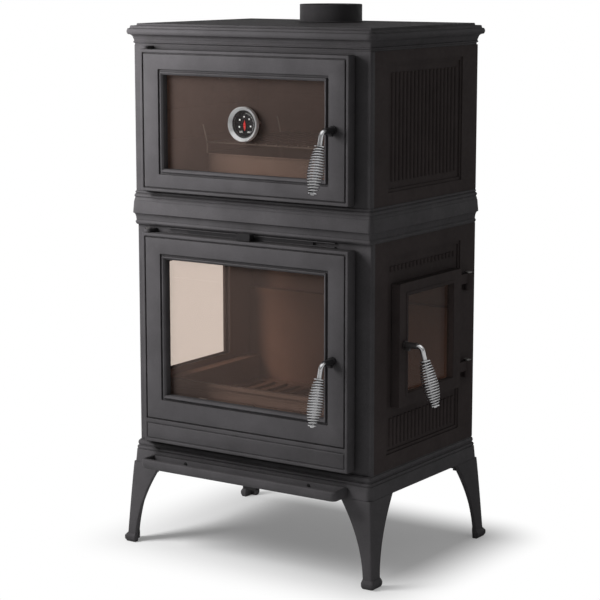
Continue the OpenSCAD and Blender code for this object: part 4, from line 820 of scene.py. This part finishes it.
def dial_marks():
    """Five white dots round the dial, fine ticks along its right edge and small numerals below."""
    shape = Shape()
    y = THERMO.y - 0.12
    for turn in DIAL_DOTS:
        a = math.radians(turn)
        at = Matrix.Translation(THERMO + Vector((14.2 * math.cos(a), -0.02, 14.2 * math.sin(a)))) \
            @ Matrix.Rotation(math.pi / 2, 4, "X")
        since = len(shape.points)
        shape.revolve([(0, -0.1), (1.7, -0.1), (1.7, 0.12), (1.4, 0.2), (0, 0.2)], 20).moved(at, since)
    for k in range(25):
        a = math.radians(82 - 5.2 * k)
        inner, outer = (20.6, 22.2) if k % 4 else (19.4, 22.2)
        d, side = Vector((math.cos(a), 0, math.sin(a))), Vector((-math.sin(a), 0, math.cos(a))) * 0.2
        corners = [THERMO + d * inner - side, THERMO + d * outer - side, THERMO + d * outer + side,
                   THERMO + d * inner + side]
        shape.loft([[c + Vector((0, 0.05, 0)) for c in corners], [c - Vector((0, 0.1, 0)) for c in corners]])
    marks = shape.piece("dial_marks", "oven_door", "dial", material=WHITE_PRINT)
    tidy = bmesh.new()
    tidy.from_mesh(marks.data)
    for words, x, z in (("100", -9.5, -15.5), ("400", 9.5, -15.5)):
        mesh = text("numeral", words, 5.4, x, THERMO.z + z, y)
        tidy.from_mesh(mesh)
    tidy.to_mesh(marks.data)
    tidy.free()


dial_marks()


# ---- Stage, lights and camera ----

WORLD_LEVEL = 0.17
FOOTPRINT_MIDDLE = ORIGIN + Vector((0, BODY_D / 2, 0)) * MM
FOOTPRINT_HALF = Vector((HALF_W, BODY_D / 2, 0)) * MM
# What mirrors see by height, from the horizon up: white sweep, dim wall, softbox overhead
STUDIO_BAND = [(0.0, 0.6), (0.16, 0.7), (0.34, 0.16), (0.62, 0.25), (0.80, 1.0)]

# The floor, in metres: its half width, its gap under the feet, and where its shadow begins to fade and
# has turned plain white, by distance from the footprint
FLOOR_HALF, FLOOR_GAP = 14, 0.0004
FADE_FROM, FADE_TO = -0.02, 0.17
CAMERA_AT = (2.2094, -3.1208, 1.1936)
CAMERA_TILT, CAMERA_TURN = 80.218, 33.795
CAMERA_LENS = 118.38


def see_white(n):
    """1 for camera and transmitted rays."""
    path = n.add("ShaderNodeLightPath")
    return n.math("MAXIMUM", path.outputs["Is Camera Ray"], path.outputs["Is Transmission Ray"])


def floor():
    """White sweep. Seen by the camera it keeps the object's shadow close to it, and turns plain white
    further off."""
    n = Nodes("floor_white")
    seen = see_white(n)
    from_middle = n.vector("ABSOLUTE", n.vector("SUBTRACT", n.coords, (*FOOTPRINT_MIDDLE.xy, 0)))
    outside = n.vector("MAXIMUM", n.vector("SUBTRACT", from_middle, (*FOOTPRINT_HALF.xy, 1)), (0, 0, 0))
    distance = n.add("ShaderNodeVectorMath", {0: outside}, operation="LENGTH").outputs["Value"]
    far = n.add("ShaderNodeMapRange", {"Value": distance, "From Min": FADE_FROM, "From Max": FADE_TO},
                interpolation_type="SMOOTHSTEP").outputs["Result"]
    plain = n.add("ShaderNodeBsdfDiffuse", {"Color": (0.80, 0.80, 0.80, 1)})
    lift = n.add("ShaderNodeEmission", {"Color": (1, 1, 1, 1), "Strength": 0.16})
    lifted = n.add("ShaderNodeAddShader", {0: plain.outputs[0], 1: lift.outputs[0]})
    white = n.add("ShaderNodeEmission", {"Color": (1, 1, 1, 1), "Strength": 1.0})
    near_far = n.add("ShaderNodeMixShader", {0: far, 1: lifted.outputs[0], 2: white.outputs[0]})
    both = n.add("ShaderNodeMixShader", {0: seen, 1: plain.outputs[0], 2: near_far.outputs[0]})
    n.tree.links.new(both.outputs[0], n.out.inputs["Surface"])
    mesh = bpy.data.meshes.new("studio_floor")
    s = FLOOR_HALF
    mesh.from_pydata([(-s, -s, 0), (s, -s, 0), (s, s, 0), (-s, s, 0)], [], [(0, 1, 2, 3)])
    obj = bpy.data.objects.new("studio_floor", mesh)
    bpy.context.scene.collection.objects.link(obj)
    mesh.materials.append(n.material)
    obj.location.z = -FLOOR_GAP


def world():
    """Soft light from all round. Camera and transmitted rays see plain white, mirrors a white studio
    with a dim band."""
    made = bpy.data.worlds.new("studio_world")
    made.use_nodes = True
    tree = made.node_tree
    tree.nodes.clear()

    def add(kind, inputs=None, **facts):
        node = tree.nodes.new(kind)
        for key, value in facts.items():
            setattr(node, key, value)
        for key, value in (inputs or {}).items():
            if isinstance(value, bpy.types.NodeSocket):
                tree.links.new(value, node.inputs[key])
            else:
                node.inputs[key].default_value = value
        return node

    path = add("ShaderNodeLightPath")
    height = add("ShaderNodeSeparateXYZ", {0: add("ShaderNodeTexCoord").outputs["Generated"]}).outputs["Z"]
    band = add("ShaderNodeValToRGB", {0: height})
    for i, (at, level) in enumerate(STUDIO_BAND):
        stop = band.color_ramp.elements[i] if i < 2 else band.color_ramp.elements.new(at)
        stop.position = at
        stop.color = (level, level, level, 1)
    soft_light = add("ShaderNodeBackground", {"Color": (1, 1, 1, 1), "Strength": WORLD_LEVEL})
    white = add("ShaderNodeBackground", {"Color": (1, 1, 1, 1), "Strength": 1.0})
    mirrored = add("ShaderNodeBackground", {"Color": band.outputs[0], "Strength": 1.0})
    seen = {0: path.outputs["Is Camera Ray"], 1: path.outputs["Is Transmission Ray"]}
    see_through = add("ShaderNodeMath", seen, operation="MAXIMUM").outputs[0]
    glossy = path.outputs["Is Glossy Ray"]
    low = add("ShaderNodeMixShader", {0: glossy, 1: soft_light.outputs[0], 2: mirrored.outputs[0]})
    top = add("ShaderNodeMixShader", {0: see_through, 1: low.outputs[0], 2: white.outputs[0]})
    add("ShaderNodeOutputWorld", {"Surface": top.outputs[0]})
    bpy.context.scene.world = made


def lamp(name, at, aim, size, power):
    """Soft light that doesn't show in mirrors or glass."""
    data = bpy.data.lights.new(name, "AREA")
    data.shape = "RECTANGLE"
    data.size, data.size_y = size
    data.energy = power
    obj = bpy.data.objects.new(name, data)
    bpy.context.scene.collection.objects.link(obj)
    obj.visible_glossy = False
    obj.location = at
    obj.rotation_euler = (Vector(aim) - Vector(at)).to_track_quat("-Z", "Y").to_euler()


def camera():
    data = bpy.data.cameras.new("camera")
    data.lens = CAMERA_LENS
    data.sensor_width = 36
    data.clip_end = 100
    obj = bpy.data.objects.new("camera", data)
    bpy.context.scene.collection.objects.link(obj)
    obj.location = Vector(CAMERA_AT) + ORIGIN
    obj.rotation_euler = (math.radians(CAMERA_TILT), 0, math.radians(CAMERA_TURN))
    bpy.context.scene.camera = obj


floor()
world()
lamp("key", (-0.74, -0.80, 1.16), (-0.1, -0.1, 0.75), (0.45, 0.8), 19)
lamp("top", (-0.5, -0.4, 2.9), (-0.1, 0, 0.8), (1.8, 1.8), 1.0)
lamp("fill", (1.8, -1.2, 0.7), (0.1, 0, 0.45), (1.2, 1.2), 2.0)
camera()
bpy.context.scene.view_settings.view_transform = "Standard"
